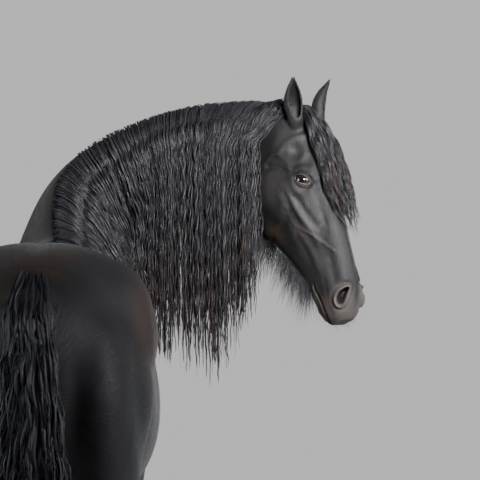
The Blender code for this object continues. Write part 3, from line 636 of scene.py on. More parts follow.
def headFlesh():
    neck = neckMesh(first=5)
    neck.transform(toHead)
    flesh = fused("head", [headMesh(), earMesh(1), earMesh(-1), neck], horse["headGrain"])
    relax(flesh, 4)
    fromEar = lengths(folded(pointsOf(flesh)) - earBase)
    relax(flesh, 45, np.clip(1.9 - fromEar / 0.021, 0, 1))
    swell(flesh, headShape)
    relax(flesh, 2)
    points = pointsOf(flesh)
    picked = lengths(folded(points) - nostril["place"]) < 0.04
    picked |= (lineDistance(points, mouthLine) < 0.009) & (points[:, 1] > 0.47)
    bm = opened(flesh)
    edges = [e for e in bm.edges if all(picked[v.index] for v in e.verts)]
    bmesh.ops.subdivide_edges(bm, edges=edges, cuts=1, use_grid_fill=True, smooth=0.0)
    bmesh.ops.triangulate(bm, faces=[f for f in bm.faces if len(f.verts) > 4])
    bm.to_mesh(flesh)
    bm.free()
    points = pointsOf(flesh)
    normals = normalsOf(flesh)
    sideways = smoothstep(np.abs(normals[:, 0]), 0.15, 0.55) * smoothstep(np.abs(points[:, 0]), 0.012, 0.028)
    for radius, height, *line in faceLines:
        away = lineDistance(points, line)
        points += normals * (sideways * height / 1000 * peak(away, 0, radius / 1000))[:, None]
    away = lineDistance(points, mouthLine)
    mouth = -0.007 * peak(away, 0, 0.0026) + 0.002 * peak(away, 0.0085, 0.0045)
    points += normals * (smoothstep(points[:, 1], 0.482, 0.497) * mouth)[:, None]
    setPoints(flesh, shapeNostril(shapeNostril(points, -1), 1))
    bm = opened(flesh)
    tree = BVHTree.FromBMesh(bm)
    insertEye(bm, tree, -1)
    insertEye(bm, tree, 1)
    bmesh.ops.recalc_face_normals(bm, faces=bm.faces)
    return meshFrom("head", bm)


# The fine head meets the body at a plane behind the ears and across the throat, in the head's axes.
cutPlace = Vector((0, -0.056, -0.105))
cutTurn = Matrix.Rotation(radians(30), 4, "X")
cutNormal = cutTurn @ Vector((0, 1, 0))
toCut = cutTurn.inverted() @ Matrix.Translation(-cutPlace)


def inBlock(x, z, half=0.17):  # near the head, from points in the cut's axes
    return (abs(x) < half) & (z > -0.52) & (z < 0.22)


def cutHead(mesh, keepHead, gap):  # in the head's axes
    bm = opened(mesh)

    def ahead(face, margin):
        x, y, z = toCut @ face.calc_center_median()
        return inBlock(x, z) and y > gap - margin

    touched = [f for f in bm.faces if ahead(f, 0.03)]
    geom = set(touched)
    for face in touched:
        geom.update(face.edges)
        geom.update(face.verts)
    place = cutPlace + cutNormal * gap
    bmesh.ops.bisect_plane(bm, geom=list(geom), dist=1e-5, plane_co=place, plane_no=cutNormal)
    keepOnly(bm, [f for f in bm.faces if ahead(f, 0) != keepHead])
    return meshFrom("half", bm)


def skinMesh():
    body = bodyFlesh()
    body.transform(toHead)
    joined = opened(cutHead(body, False, -0.004), cutHead(headFlesh(), True, 0.004))
    bmesh.ops.bridge_loops(joined, edges=[e for e in joined.edges if e.is_boundary])
    bmesh.ops.triangulate(joined, faces=[f for f in joined.faces if len(f.verts) > 4])
    bmesh.ops.recalc_face_normals(joined, faces=joined.faces)
    print("open edges left", sum(e.is_boundary for e in joined.edges))
    mesh = meshFrom("skin", joined)
    x, y, z = moved(pointsOf(mesh), toCut).T
    relax(mesh, 12, np.clip(1 - np.abs(y) / seamReach, 0, 1) * inBlock(x, z, 0.2))
    points = pointsOf(mesh)
    inHead = smoothstep(moved(points, toCut)[:, 1], -0.03, 0.03) * (lengths(points - (0, 0.28, -0.12)) < 0.5)
    depth = horse["coatDepth"] + (horse["headCoatDepth"] - horse["coatDepth"]) * inHead
    setPoints(mesh, points - normalsOf(mesh) * depth[:, None])
    mesh.transform(headMatrix)
    mesh.transform(Matrix.Translation(shift))
    return mesh


def readOff(rows, between, heights):  # the other columns of a table, at heights
    rows = through(rows, between)[::-1]
    return [np.interp(heights, rows[:, 0], column) for column in rows.T[1:]]


def legAt(name, heights):  # the leg's middle, across and along, and its half width and half depth
    out, along, width, depth = readOff(legRows(name), 1, heights)
    return legSide(name) * out, along + feet[name] * np.maximum(0, 1 - heights / stepTop), width, depth


def lengthAlong(paths):  # from the first point to each point
    gaps = lengths(np.diff(paths, axis=-2))
    return np.concatenate([np.zeros_like(gaps[..., :1]), np.cumsum(gaps, axis=-1)], axis=-1)


neckMiddles, neckAcross, neckUps = (np.array([f[k] for f in neckFrames(6)]) for k in range(3))
neckWays = unit(np.gradient(neckMiddles, axis=0))
# The skin's regions are 0 trunk, 1 neck, 2 head, 3 to 6 legs, 7 to 10 outer and inner ears. Each has its
# corner, width and height in the unwrap, the lengths that it spans, and a mean radius.
cells = np.array([
    (0.01, 0.01, 0.97, 0.37, -0.92, 0.9, 0.28),
    (0.01, 0.41, 0.47, 0.27, 0, 1.16, 0.15),
    (0.51, 0.41, 0.47, 0.27, -0.2, 0.66, 0.09),
    *[(0.01 + 0.2 * k, 0.71, 0.18, 0.27, 0, 0.92, 0.055) for k in range(4)],
    *[(0.81 + 0.1 * (k % 2), 0.71 + 0.15 * (k // 2), 0.08, 0.12, 0, 0.2, 0.03) for k in range(4)],
])


def nearestNeck(points):
    return lengths(points[:, None] - neckMiddles).argmin(1)


def fromHead(points):  # the points in the head's axes
    return moved(points - shiftRow, toHead)


def regionOf(points, normals):
    x, y, z = (points - shiftRow).T
    local = fromHead(points)
    region = ((points - shiftRow - shoulder) @ shoulderWay > 0).astype(int)
    legs = (z < np.where(y > 0, *legTops)) & (np.abs(y) > 0.3)
    region[legs] = (3 + 2 * (y < 0) + (x > 0))[legs]
    x, y, z = moved(local, toCut).T
    region[inBlock(x, z) & (y > 0) & (y < 0.8)] = 2
    flip = np.where(local[:, :1] < 0, (-1, 1, 1), (1, 1, 1))
    rel = local * flip - earBase
    radial = rel - np.outer(rel @ earAxis, earAxis)
    inner = ((fromHead(points + normals * 0.001) - local) * flip * radial).sum(1) < 0
    ears = (region == 2) & (rel @ earAxis > 0.024) & (lengths(radial) < 0.042)
    region[ears] = (7 + 2 * (local[:, 0] < 0) + inner)[ears]
    return region


def alongAround(points, region):  # length along the region, and angle round it
    local = fromHead(points)
    points = points - shiftRow
    x, y, z = points.T
    along, around = y.copy(), np.arctan2(x, z - trunkMiddle)
    here = region == 1
    k = nearestNeck(points[here])
    rel = points[here] - neckMiddles[k]
    along[here] = lengthAlong(neckMiddles)[k] + (rel * neckWays[k]).sum(1)
    around[here] = np.arctan2((rel * neckAcross[k]).sum(1), (rel * neckUps[k]).sum(1))
    here = region == 2
    along[here] = local[here, 1]
    around[here] = np.arctan2(local[here, 0], local[here, 2] + 0.12)
    for k, name in enumerate(feet):
        here = region == 3 + k
        across, ahead, _, _ = legAt(name, z[here])
        along[here] = z[here]
        around[here] = np.arctan2(x[here] - across, y[here] - ahead)
    here = region >= 7
    rel = folded(local[here]) - earBase
    along[here] = rel @ earAxis
    around[here] = np.arctan2(rel @ np.array(earAcross), -(rel @ np.array(earFront)))
    return along, around


def unwrap(along, around, region):
    u, v, wide, tall, low, high, _ = cells[region].T
    share = np.clip((along - low) / (high - low), 0, 1)
    turn = (around + pi) / (2 * pi)
    upright = region >= 3
    return np.c_[u + wide * np.where(upright, turn, share), v + tall * np.where(upright, share, turn)]


# markings, the same on skin and coat: centre, radii, strength in thousandths; the first in the trunk's axes
brownBody = [
    (0, -620, 1580, 160, 260, 70, 550), (0, -730, 1510, 130, 150, 80, 700),
    (280, -420, 1360, 100, 220, 200, 350), (200, 400, 980, 140, 160, 160, 300),
    (170, -300, 920, 160, 200, 120, 450),
]
brownHead = [
    (90, 185, -140, 40, 60, 46, 500), (70, 309, -215, 50, 50, 50, 850), (60, 300, -120, 50, 90, 30, 350),
    (40, 590, -140, 60, 75, 60, 700),
]
bareHead = [
    (30, 600, -110, 60, 75, 75, 1000), (48, 562, -72, 40, 50, 46, 900), (0, 585, -170, 50, 55, 30, 1000),
    (98, 220, -46, 26, 34, 30, 900),
]
# dusty grey hair together with a painted highlight on the lit planes of the face
dustAndSheenHead = [
    (55, 300, -72, 50, 110, 50, 1000), (85, 250, -105, 40, 66, 50, 800), (60, 110, -50, 50, 70, 70, 350),
    (45, 440, -90, 40, 140, 60, 450), (92, 190, -170, 30, 60, 70, 250), (70, 370, -130, 50, 110, 30, 700),
    (34, 550, -168, 40, 50, 20, 700),
]


def cover(points, places):
    shares = [strength * np.clip(1.25 * near, 0, 1) for near, strength in nearness(points, metres(places))]
    return np.max(shares, axis=0)


def markings(points):  # brown, bare, and the dust and sheen shares: dusty hair with a painted highlight
    body = folded(points - shiftRow)
    head = folded(fromHead(points))
    brown = np.maximum(cover(body, brownBody), cover(head, brownHead))
    return brown, cover(head, bareHead), cover(head, dustAndSheenHead)


def attribute(mesh, name, values):
    layer = mesh.attributes.new(name, "FLOAT", "POINT")
    layer.data.foreach_set("value", np.ascontiguousarray(values, dtype=np.float32).ravel())


def uvMap(mesh, name, values):
    mesh.uv_layers.new(name=name).data.foreach_set("uv", values.astype(np.float32).ravel())


skin = placed("skin", skinMesh())
mesh = skin.data
mesh.shade_smooth()
mesh.calc_loop_triangles()
skinPoints, skinNormals = pointsOf(mesh), normalsOf(mesh)
centres = listed(mesh.polygons, "center", 3)
faceRegion = regionOf(centres, listed(mesh.polygons, "normal", 3))
sizes = listed(mesh.polygons, "loop_total", 1, np.int64)
region = np.repeat(faceRegion, sizes)
middle = np.repeat(alongAround(centres, faceRegion)[1], sizes)
along, around = alongAround(skinPoints[listed(mesh.loops, "vertex_index", 1, np.int64)], region)
around = middle + (around - middle + pi) % (2 * pi) - pi  # no face straddles the seam
uvMap(mesh, "OFBake", unwrap(along, around, region))
uvMap(mesh, "lie", np.c_[along, around * cells[region, 6]])
for name, values in zip(("brown", "bare", "dust"), markings(skinPoints)):
    attribute(mesh, name, values)
skinTree = BVHTree.FromPolygons(skinPoints.tolist(), [tuple(f.vertices) for f in mesh.polygons])
print("skin", len(mesh.vertices), "vertices", len(mesh.loop_triangles), "triangles")

random = np.random.default_rng(7)
coat = []


def framed(paths, outwards):  # the outward way square to the strands, and the way to their side
    tangent = unit(np.gradient(paths, axis=1))
    outwards = unit(outwards - tangent * (outwards * tangent).sum(-1, keepdims=True))
    return outwards, np.cross(tangent, outwards)


def tubes(name, paths, radii, outwards, flatness, marked=True):  # three-sided strands with pointed ends
    count, steps, _ = paths.shape
    outwards, side = framed(paths, outwards)
    rings = []
    for angle in np.radians((90, 210, 330)):
        way = side * cos(angle) + outwards * sin(angle) * flatness
        rings.append(paths[:, :-1] + way[:, :-1] * radii[:, :-1, None])
    verts = np.concatenate([np.stack(rings, axis=2).reshape(count, -1, 3), paths[:, -1:]], axis=1)
    each = verts.shape[1]
    last = each - 4
    strand = []
    for k, step in enumerate((1, 1, -2)):
        strand += [(n, n + 3, n + 3 + step, n + step) for n in range(k, last, 3)]
    strand += [(0, 1, 2), *((last + k, last + 3, last + (k + 1) % 3) for k in range(3))]
    faces = [[v + n for v in face] for n in range(0, count * each, each) for face in strand]
    mesh = bpy.data.meshes.new(name)
    mesh.from_pydata(verts.reshape(-1, 3), [], faces)
    share = np.r_[np.repeat(np.arange(steps - 1) / (steps - 1), 3), 1.0]
    corner = np.r_[np.tile([0.5, 0.0, 1.0], steps - 1), 0.5]
    around = np.r_[np.repeat(np.arange(steps - 1), 3), steps - 1]  # which ring a vertex is on
    attribute(mesh, "along", np.tile(share, count))
    attribute(mesh, "tone", np.repeat(random.random(count), each))
    # the strands carry the skin's markings, with the dust and sheen share: dusty hair and a painted
    # highlight
    brown, _, dust = markings(paths[:, 0])
    attribute(mesh, "brown", np.repeat(brown * marked, each))
    attribute(mesh, "dust", np.repeat(dust * marked, each))
    attribute(mesh, "run", lengthAlong(paths)[:, around])
    attribute(mesh, "across", (corner - 0.5) * 2 * radii[:, around])
    roots, normals = paths[:, 0], unit(outwards[:, 0])
    region = regionOf(roots, normals)
    patch = tuftPatch * np.stack([corner - 0.5, share - 0.5], axis=-1)
    uv = np.clip(unwrap(*alongAround(roots, region), region)[:, None] + patch[None], 0, 1)
    uvMap(mesh, "OFBake", uv.reshape(-1, 2)[listed(mesh.loops, "vertex_index", 1, np.int64)])
    mesh.shade_smooth()
    coat.append(placed(name, mesh))
    print(name, count, "strands", count * (6 * steps - 8), "triangles")


def sample(grid, *shares):  # smooth place in a grid of guides: across, through the layers, along the hair
    lows, parts, total = [], [], 0
    for share, size in zip(shares, grid.shape):
        scaled = np.clip(share, 0, 1) * (size - 1)
        lows.append(np.minimum(scaled.astype(int), size - 2))
        parts.append(scaled - lows[-1])
    for corner in np.ndindex(2, 2, 2):
        weight = prod(part if step else 1 - part for step, part in zip(corner, parts))
        total = total + grid[tuple(low + step for low, step in zip(lows, corner))] * weight[..., None]
    return total


def evenly(path, steps):  # the same curve with evenly spaced points
    gaps = lengthAlong(path)
    want = np.linspace(0, gaps[-1], steps)
    return np.stack([np.interp(want, gaps, path[:, axis]) for axis in range(3)], axis=1)


def guideGrid(across, layers, steps, wayAt):  # guides across the lock, in layers from the skin outwards
    depths = np.linspace(0, 1, layers)
    return np.array([[evenly(wayAt(turn, depth), steps) + shiftRow for depth in depths] for turn in across])


def lifted(grid, base, gain, *roots):  # keeps guides clear of the skin; roots are their first points' depths
    clear = base + gain * np.linspace(0, 1, grid.shape[1])[None, :, None] * np.ones(grid.shape[:3])
    for k, depth in enumerate(roots):
        clear[:, :, k] = depth
    flat = grid.reshape(-1, 3)
    for point, enough in zip(flat, clear.ravel()):
        spot, normal, _, _ = skinTree.find_nearest(Vector(point), 0.12)
        depth = enough if spot is None else (Vector(point) - spot).dot(normal)
        if depth < enough:
            point += np.array(normal) * (enough - depth)
    return flat.reshape(grid.shape)


def skinSide(grid):  # the outward way of the nearest skin, for every point of the guides
    return np.array([skinTree.find_nearest(Vector(p))[1] for p in grid.reshape(-1, 3)]).reshape(grid.shape)


# strands in locks over a grid of guides; lean slides them across it, reach shortens them
def lockHair(grid, look, lean=None, reach=None, rooted=None):
    count, locks, steps = look["count"], look["locks"], look["steps"]
    first = look["from"]
    s, t = first + (1 - first) * random.random(count), random.random(count) ** look["outerMost"]
    lockS, lockT = first + (1 - first) * random.random(locks), random.random(locks) ** look["outerMost"]
    gaps = ((s[:, None] - lockS) * look["acrossPerDepth"]) ** 2 + (t[:, None] - lockT) ** 2
    lock = gaps.argmin(1)

    def each(values):  # from one value a lock to one a strand
        return values[lock][:, None]

    v = np.linspace(0, 1, steps)[None]
    clump = look["clump"] * smoothstep(v, 0.02, 0.9)
    sWay = s[:, None] + (each(lockS) - s[:, None]) * clump
    tWay = t[:, None] + (each(lockT) - t[:, None]) * clump * 0.7
    if lean is not None:
        sWay = sWay + lean(s)[:, None] * v**0.8 * each(random.uniform(0.7, 1.1, locks))
    length = 1.0 if reach is None else reach(s)
    length = length * random.uniform(*look["lockLength"], locks)[lock]
    length = length * random.uniform(*look["strandLength"], count)
    vWay = v * np.minimum(length, 1.0)[:, None]
    paths = sample(grid, sWay, tWay, vWay)
    deeper = sample(grid, sWay, np.clip(tWay - 0.25, 0, 1), vWay)
    outwards = unit(sample(grid, sWay, np.clip(tWay + 0.25, 0, 1), vWay) - deeper)
    if rooted is not None:  # near the roots the locks lie flat on the skin
        above = smoothstep(vWay, 0.03, 0.22)[..., None]
        outwards = unit(outwards * above + sample(rooted, sWay, tWay, vWay) * (1 - above))
    outwards, side = framed(paths, outwards)
    run = lengthAlong(paths)
    grown = smoothstep(run, 0.02, look["waveFrom"])
    drift = each(random.normal(0, 1, locks)) * look["drift"] * run / 0.5
    phase = 2 * pi * run / look["wave"] * (1 + 0.05 * each(random.normal(0, 1, locks))) + drift
    phase = phase + look["phaseAcross"] * np.sin(9 * each(lockS) + 1.3)
    own = random.uniform(0, 2 * pi, (count, 1))
    swing = grown * look["swing"] * (0.7 + 0.6 * each(random.random(locks)))
    loose = look["loose"] * smoothstep(v) * np.where(random.random((count, 1)) < look["strays"], 4.0, 1.0)
    turns = 2 * pi * run / look["wave"]
    outAway = swing * np.sin(phase) + 0.6 * loose * np.sin(turns / 1.4 + 2 * own)
    sideAway = swing * look["sideways"] * np.sin(phase * 0.93 + 1.2 + drift)
    sideAway = sideAway + loose * np.sin(turns / 1.7 + own)
    paths = paths + outwards * outAway[..., None] + side * sideAway[..., None]
    paths[..., 2] = np.maximum(paths[..., 2], floorGap)
    return paths, outwards


def taper(count, steps, width, tipShare=0.35):
    v = np.linspace(0, 1, steps)[None]
    spreads = random.uniform(0.6, 1.3, (count, 1))
    return 0.5 * width * spreads * (1 - (1 - tipShare) * v**1.5) * np.clip(v * 14 + 0.2, 0, 1)


def grow(name, guides, look, pieces, flatness, **ways):
    paths, outwards = lockHair(guides, look, **ways)
    radii = taper(*paths.shape[:2], look["width"])
    for k in range(pieces):
        tubes(f"{name}_{k + 1}", paths[k::pieces], radii[k::pieces], outwards[k::pieces], flatness, False)


# the mane: guides laid over the right side of the neck, in layers
mane = {
    "from": 0.157,  # share of the guides before the first hair
    "count": 1000, "locks": 260, "steps": 54, "width": 0.0014,
    "clump": 0.6,  # how far strands draw together to their lock's middle
    "acrossPerDepth": 9,  # what a step across counts, against one in depth, when strands choose a lock
    "outerMost": 0.42,  # below 1 crowds the strands outwards
    "lockLength": (0.8, 1), "strandLength": (0.84, 1),  # shares of the guides' length
    "wave": 0.07, "waveFrom": 0.14,  # length of a wave, and how far along a strand it is at its full height
    "swing": 0.004, "sideways": 0.42,  # height of a wave outwards, and its share sideways
    "drift": 0.6, "phaseAcross": 0.7,  # how much the waves of neighbouring locks differ
    "loose": 0.003, "strays": 0.06,  # unevenness of a strand, and the share of strands with four times it
}
maneLocks = {**mane, "count": 620, "width": 0.0078, "clump": 0.25, "loose": 0.0012, "strays": 0}
maneLocks["outerMost"] = 0.62
maneUnder = {**mane, "count": 290, "steps": 27, "width": 0.016, "clump": 0.2, "outerMost": 2.2}
maneUnder.update({"lockLength": (0.7, 0.94), "wave": 0.16, "swing": 0.005, "loose": 0})
maneThickness = 0.055
maneLengths = (0.4, 0.54, 0.64, 0.73, 0.79, 0.83, 0.86, 0.86, 0.74, 0.62)
maneSlides = (0, 0, 0, 0, 0, 0, 0.004, 0.01, 0.022, 0.046)
maneBehind = 10  # guides behind the withers, for locks to lean over
maneFrames = neckFrames(6)
neckGuides = len(maneFrames) - 1
middle, *others = maneFrames[0]
back = middle - maneFrames[6][0]
maneFrames = [(middle + back * k / 6, *others) for k in range(maneBehind, 0, -1)] + maneFrames
maneFalls = through(list(zip(maneLengths, maneSlides)), 6)
maneFalls = np.vstack([np.repeat(maneFalls[:1], maneBehind, axis=0), maneFalls])


def maneWay(index, t):
    (middle, across, up, width, rise, _), (length, slide) = maneFrames[index], maneFalls[index]
    out = Vector((across.x, across.y, 0)).normalized()
    crest = middle + up * rise
    sideways = Vector((slide, 0, 0))
    way = [crest - up * 0.012 + across * (0.026 - 0.036 * t)]
    way.append(crest + up * (0.001 + 0.009 * t) + across * (0.034 - 0.026 * t))
    for share in (0.35, 0.75):
        angle = share * pi / 2
        point = middle + up * rise * cos(angle) ** 1.15
        way.append(point + across * (width * sin(angle) + 0.005 + 0.026 * t) - sideways * share)
    hang = middle + across * width - sideways
    bottom = crest.z - length
    for share, inset in ((0.0, 0.6), (0.25, 0.8), (0.65, 1.0), (1.0, 1.0)):
        point = hang + out * maneThickness * (0.55 - inset * (1 - t))
        way.append(Vector((point.x, point.y, hang.z + (bottom - hang.z) * share)))
    return through(way, 8)


def alongNeck(values, at):  # values at shares of the neck, for a share of the guides
    return lambda s: np.interp((s * (neckGuides + maneBehind) - maneBehind) / neckGuides, at, values)


lean = alongNeck((-0.06, -0.13, -0.2, -0.17, -0.04, 0.02, 0), (0, 0.1, 0.2, 0.33, 0.5, 0.7, 1))
reach = alongNeck((0.34, 0.55, 0.78, 0.8, 0.9, 1, 0.98, 0.92), (0, 0.05, 0.16, 0.45, 0.6, 0.75, 0.9, 1))
guides = lifted(guideGrid(range(len(maneFrames)), 5, 40, maneWay), 0.003, 0.02, -0.012, -0.002)
sides = skinSide(guides)
grow("mane_locks", guides, maneLocks, 2, 0.3, lean=lean, reach=reach, rooted=sides)
grow("mane_strands", guides, mane, 2, 0.6, lean=lean, reach=reach, rooted=sides)
grow("mane_under", guides[2:-3, :3], maneUnder, 1, 0.3, lean=lean, reach=reach)

# the forelock: from between the ears, over the brow to the far side
forelock = {
    "from": 0, "count": 420, "locks": 60, "steps": 40, "width": 0.0015, "clump": 0.66,
    "acrossPerDepth": 2.5, "outerMost": 0.6, "lockLength": (0.66, 1), "strandLength": (0.8, 1),
    "wave": 0.08, "waveFrom": 0.1, "swing": 0.0044, "sideways": 0.9, "drift": 1.2, "phaseAcross": 2,
    "loose": 0.003, "strays": 0.06,
}
forelockLocks = {**forelock, "count": 190, "width": 0.0064, "clump": 0.35, "loose": 0.0012, "strays": 0}
# in the head's axes: along, middle, height, half width, depth
forelockRows = [
    (-16, 0, -24, 20, 8), (4, 0, -2, 24, 14), (40, 6, 12, 36, 20), (100, 6, 21, 59, 24),
    (180, -2, 19, 64, 26), (260, -8, 9, 66, 26), (330, -22, -4, 53, 22), (415, -40, -20, 30, 16),
]


def forelockWay(turn, depth):
    along, middle, height, width, thick = through(metres(forelockRows), 4).T
    bow = sqrt(1 - 0.8 * turn * turn)
    height = height - thick * 0.6 + thick * 1.2 * depth * bow
    return moved(np.c_[middle + turn * width, along, height], headMatrix)


guides = lifted(guideGrid(np.linspace(-1, 1, 13), 4, 26, forelockWay), 0.002, 0.014, -0.01)
sides = skinSide(guides)
grow("forelock_locks", guides, forelockLocks, 1, 0.3, rooted=sides)
grow("forelock_strands", guides, forelock, 1, 0.6, rooted=sides)

# the tail: from the dock down, in a full round fall
tail = {
    **forelock, "count": 430, "locks": 90, "steps": 46, "width": 0.0019, "clump": 0.6,
    "acrossPerDepth": 3, "outerMost": 0.34, "lockLength": (0.8, 1), "wave": 0.14, "waveFrom": 0.3,
    "swing": 0.0075, "drift": 1, "phaseAcross": 1.6, "loose": 0.0045, "strays": 0.04,
}
tailLocks = {**tail, "count": 250, "width": 0.0125, "clump": 0.3, "loose": 0.0015, "strays": 0}
tailLocks["outerMost"] = 0.42
tailUnder = {**tail, "count": 110, "steps": 24, "width": 0.03, "clump": 0.2, "outerMost": 2}
tailUnder.update({"swing": 0, "loose": 0})
# height, across, along, half width, half depth
tailRows = [
    (1490, 0, -765, 34, 30), (1440, 0, -792, 50, 46), (1340, 2, -828, 64, 56), (1150, 6, -856, 80, 66),
    (900, 12, -870, 102, 76), (600, 12, -874, 116, 84), (350, 6, -868, 112, 80), (180, 0, -862, 86, 62),
    (112, -4, -860, 54, 40),
]
roundTurns = np.linspace(-pi, pi, 25)


def tailWay(angle, depth):
    root = 1.2 + 0.32 * depth  # the outer hair starts higher up the dock
    heights = np.linspace(root, 0.112, 60)
    across, along, wide, deep = readOff(metres(tailRows), 10, heights)
    dockAt, girth = readOff(metres(dockRows)[:, (1, 0, 2)], 6, heights)
    away = smoothstep(root - heights, 0, 0.2)
    share = 0.25 + 0.75 * depth
    girth = girth * 0.9
    x = (girth + (wide * share - girth) * away) * sin(angle)
    y = (girth + (deep * share - girth) * away) * cos(angle)
    return np.c_[across * away + x, dockAt + (along - dockAt) * away + y, heights]


guides = guideGrid(roundTurns, 5, 44, tailWay)
guides[:, :, :14] = lifted(guides[:, :, :14], 0.002, 0.008, -0.012)
grow("tail_locks", guides, tailLocks, 1, 0.3)
grow("tail_strands", guides, tail, 1, 0.6)
grow("tail_under", guides[:, :3], tailUnder, 1, 0.4)

# the feathers: long hair round the fetlocks and over the hooves
feather = {
    **forelock, "count": 560, "locks": 70, "steps": 13, "clump": 0.6, "acrossPerDepth": 3,
    "outerMost": 0.7, "lockLength": (0.78, 1), "strandLength": (0.78, 1), "wave": 0.07,
    "waveFrom": 0.06, "swing": 0.002, "sideways": 1, "loose": 0.0026, "strays": 0.05,
}
featherLocks = {**feather, "count": 130, "width": 0.009, "clump": 0.3, "loose": 0.001, "strays": 0}
# height, distance back from the sole's middle, half width, reach ahead, reach behind
featherRows = [
    (330, 92, 46, 52, 60), (260, 93, 50, 54, 78), (200, 92, 58, 60, 94), (140, 74, 63, 64, 110),
    (85, 44, 71, 65, 128), (40, 22, 80, 48, 136), (12, 14, 83, 36, 134),
]


def footPlace(name):
    across, along, _, _ = legAt(name, 0.05)
    return Vector((across, along + soleAhead, 0))


def featherWay(name, angle, depth):
    foot = footPlace(name)
    behind = 0.5 - 0.5 * cos(angle)  # 1 at the back of the leg
    root = 0.105 + 0.055 * behind + (0.05 + 0.13 * behind) * depth
    heights = np.linspace(root, max(0.008, root - (0.14 + 0.12 * behind)), 24)
    away = smoothstep(root - heights, 0, 0.09)
    back, wide, ahead, rear = readOff(metres(featherRows), 6, heights)
    legX, legY, legWide, legDeep = legAt(name, heights)
    share = 0.55 + 0.45 * depth
    reach = np.where(cos(angle) > 0, ahead, rear) * share
    x = foot.x + wide * share * sin(angle)
    y = foot.y - back - feet[name] * heights / stepTop + reach * cos(angle)
    rootX = legX + 0.92 * legWide * sin(angle)
    rootY = legY + 0.92 * legDeep * cos(angle)
    return np.c_[rootX + (x - rootX) * away, rootY + (y - rootY) * away, heights]


for name in feet:
    guides = guideGrid(roundTurns, 5, 16, lambda angle, depth: featherWay(name, angle, depth))
    grow("feather_strands_" + name, guides, feather, 1, 0.6)
    grow("feather_locks_" + name, guides, featherLocks, 1, 0.3)


def lieAt(points, normals):  # the way the coat lies, along the skin
    local = fromHead(points)
    turn = np.array(headMatrix.to_3x3())
    region = regionOf(points, normals)
    way = np.tile((0.0, -1.0, -0.35), (len(points), 1))
    onNeck = -neckWays[nearestNeck(points - shiftRow)] + (0, 0, -0.45)
    way[region == 1] = onNeck[region == 1]
    cheek = smoothstep(-local[:, 2:], 0.08, 0.22) * smoothstep(0.42 - local[:, 1:2], 0, 0.15)
    onHead = ((1 - cheek) * (0, 1, -0.15) + cheek * (0, 0.1, -1)) @ turn.T
    way[region == 2] = onHead[region == 2]
    way[(region >= 3) & (region <= 6)] = (0, -0.25, -1)
    for side, ears in ((1, (7, 8)), (-1, (9, 10))):
        way[np.isin(region, ears)] = turn @ (earAxis * (side, 1, 1))
    way = way - normals * (way * normals).sum(1, keepdims=True)
    return unit(way), region, local


triangles = listed(mesh.loop_triangles, "vertices", 3, np.int64)
a, b, c = (skinPoints[triangles[:, k]] for k in range(3))
faceMiddle, square = (a + b + c) / 3, np.cross(b - a, c - a)
areas = lengths(square)
faceWay, faceKind, faceLocal = lieAt(faceMiddle, unit(square))
faceBare = markings(faceMiddle)[1]


# tufts scattered over the skin, more of them where the weight is high
def tufts(
    name, weight, count, length, width, steps=4, rise=0.05, droop=0, mess=0.12, curl=0.16, towards=None
):
    chance = areas * weight
    pick = random.choice(len(triangles), count, p=chance / chance.sum())
    a, b = random.random((2, count, 1))
    a, b = np.where(a + b > 1, 1 - a, a), np.where(a + b > 1, 1 - b, b)
    roots, normals = (
        sum(share * values[triangles[pick, k]] for k, share in enumerate((1 - a - b, a, b)))
        for values in (skinPoints, skinNormals)
    )
    normals = unit(normals)
    way = faceWay[pick]
    if towards is not None:
        outShare, lieShare, downShare = towards
        way = unit(normals * outShare + way * lieShare - (0, 0, downShare))
    way = unit(way + mess * random.normal(0, 1, way.shape))
    way = unit(way - normals * (way * normals).sum(1, keepdims=True) * (towards is None))
    size = random.uniform(*length, (count, 1, 1))
    v = np.linspace(0, 1, steps)[None, :, None]
    lift = rise * random.uniform(0.5, 1.4, (count, 1, 1))
    paths = roots[:, None] + size * (way[:, None] * v + normals[:, None] * (lift * v**0.8 - 0.03))
    paths = paths - size * droop * v**2 * (0, 0, 1)
    sideways = np.cross(way, normals)[:, None]
    paths = paths + size * sideways * v**1.5 * random.normal(0, curl, (count, 1, 1))
    tubes(name, paths, taper(count, steps, width, 0.5), np.repeat(normals[:, None], steps, axis=1), 0.4)


x, y, z = (faceMiddle - shiftRow).T
_, hy, hz = faceLocal.T
onHead = (faceKind == 2).astype(float)
onBody = (faceKind < 7) * (faceKind != 2) * (z > 0.1)
jawLine = np.interp(hy, (0.22, 0.327, 0.368, 0.448, 0.506), (-0.29, -0.255, -0.215, -0.18, -0.15))
shortTufts = {
    "coat_body": {"count": 6000, "length": (0.012, 0.022), "width": 0.0013, "mess": 0.13},
    "coat_head": {"count": 4500, "length": (0.006, 0.011), "width": 0.0009},
    "coat_dock": {
        "count": 900, "length": (0.02, 0.045), "width": 0.0011, "steps": 5,
        "rise": 0.04, "droop": 0.12, "mess": 0.08,
    },
    "coat_jaw": {
        "count": 6600, "length": (0.024, 0.086), "width": 0.0008, "steps": 5,
        "rise": 0.22, "droop": 0.55, "mess": 0.3, "curl": 0.34,
        "towards": (0.42, 0.4, 0.5),  # shares of out from the skin, along the coat and down
    },
    "coat_whiskers": {
        "count": 260, "length": (0.007, 0.021), "width": 0.0004, "steps": 5,
        "rise": 0.1, "droop": 0.2, "mess": 0.22, "towards": (1.0, 0.0, 0.3),
    },
    "coat_ears": {"count": 1700, "length": (0.007, 0.015), "width": 0.0007, "steps": 5, "rise": 0.07},
}
tuftWeights = {
    "coat_body": onBody * (0.5 + 1.2 * (z < 1.0)),
    "coat_head": onHead * (1 - faceBare) * (hy > 0.0),
    "coat_dock": onBody * (np.hypot(x, y + 0.75) < 0.08) * (z > 1.4),  # over the root of the tail
    "coat_jaw": onHead * (hz < jawLine) * (hy > 0.05) * (hy < 0.48),
    "coat_whiskers": onHead * faceBare * (hy > 0.5) * (hz < -0.1),
    "coat_ears": (faceKind >= 7) * 0.4 + np.isin(faceKind, (8, 10)),
}
for name, weight in tuftWeights.items():
    tufts(name, weight, **shortTufts[name])


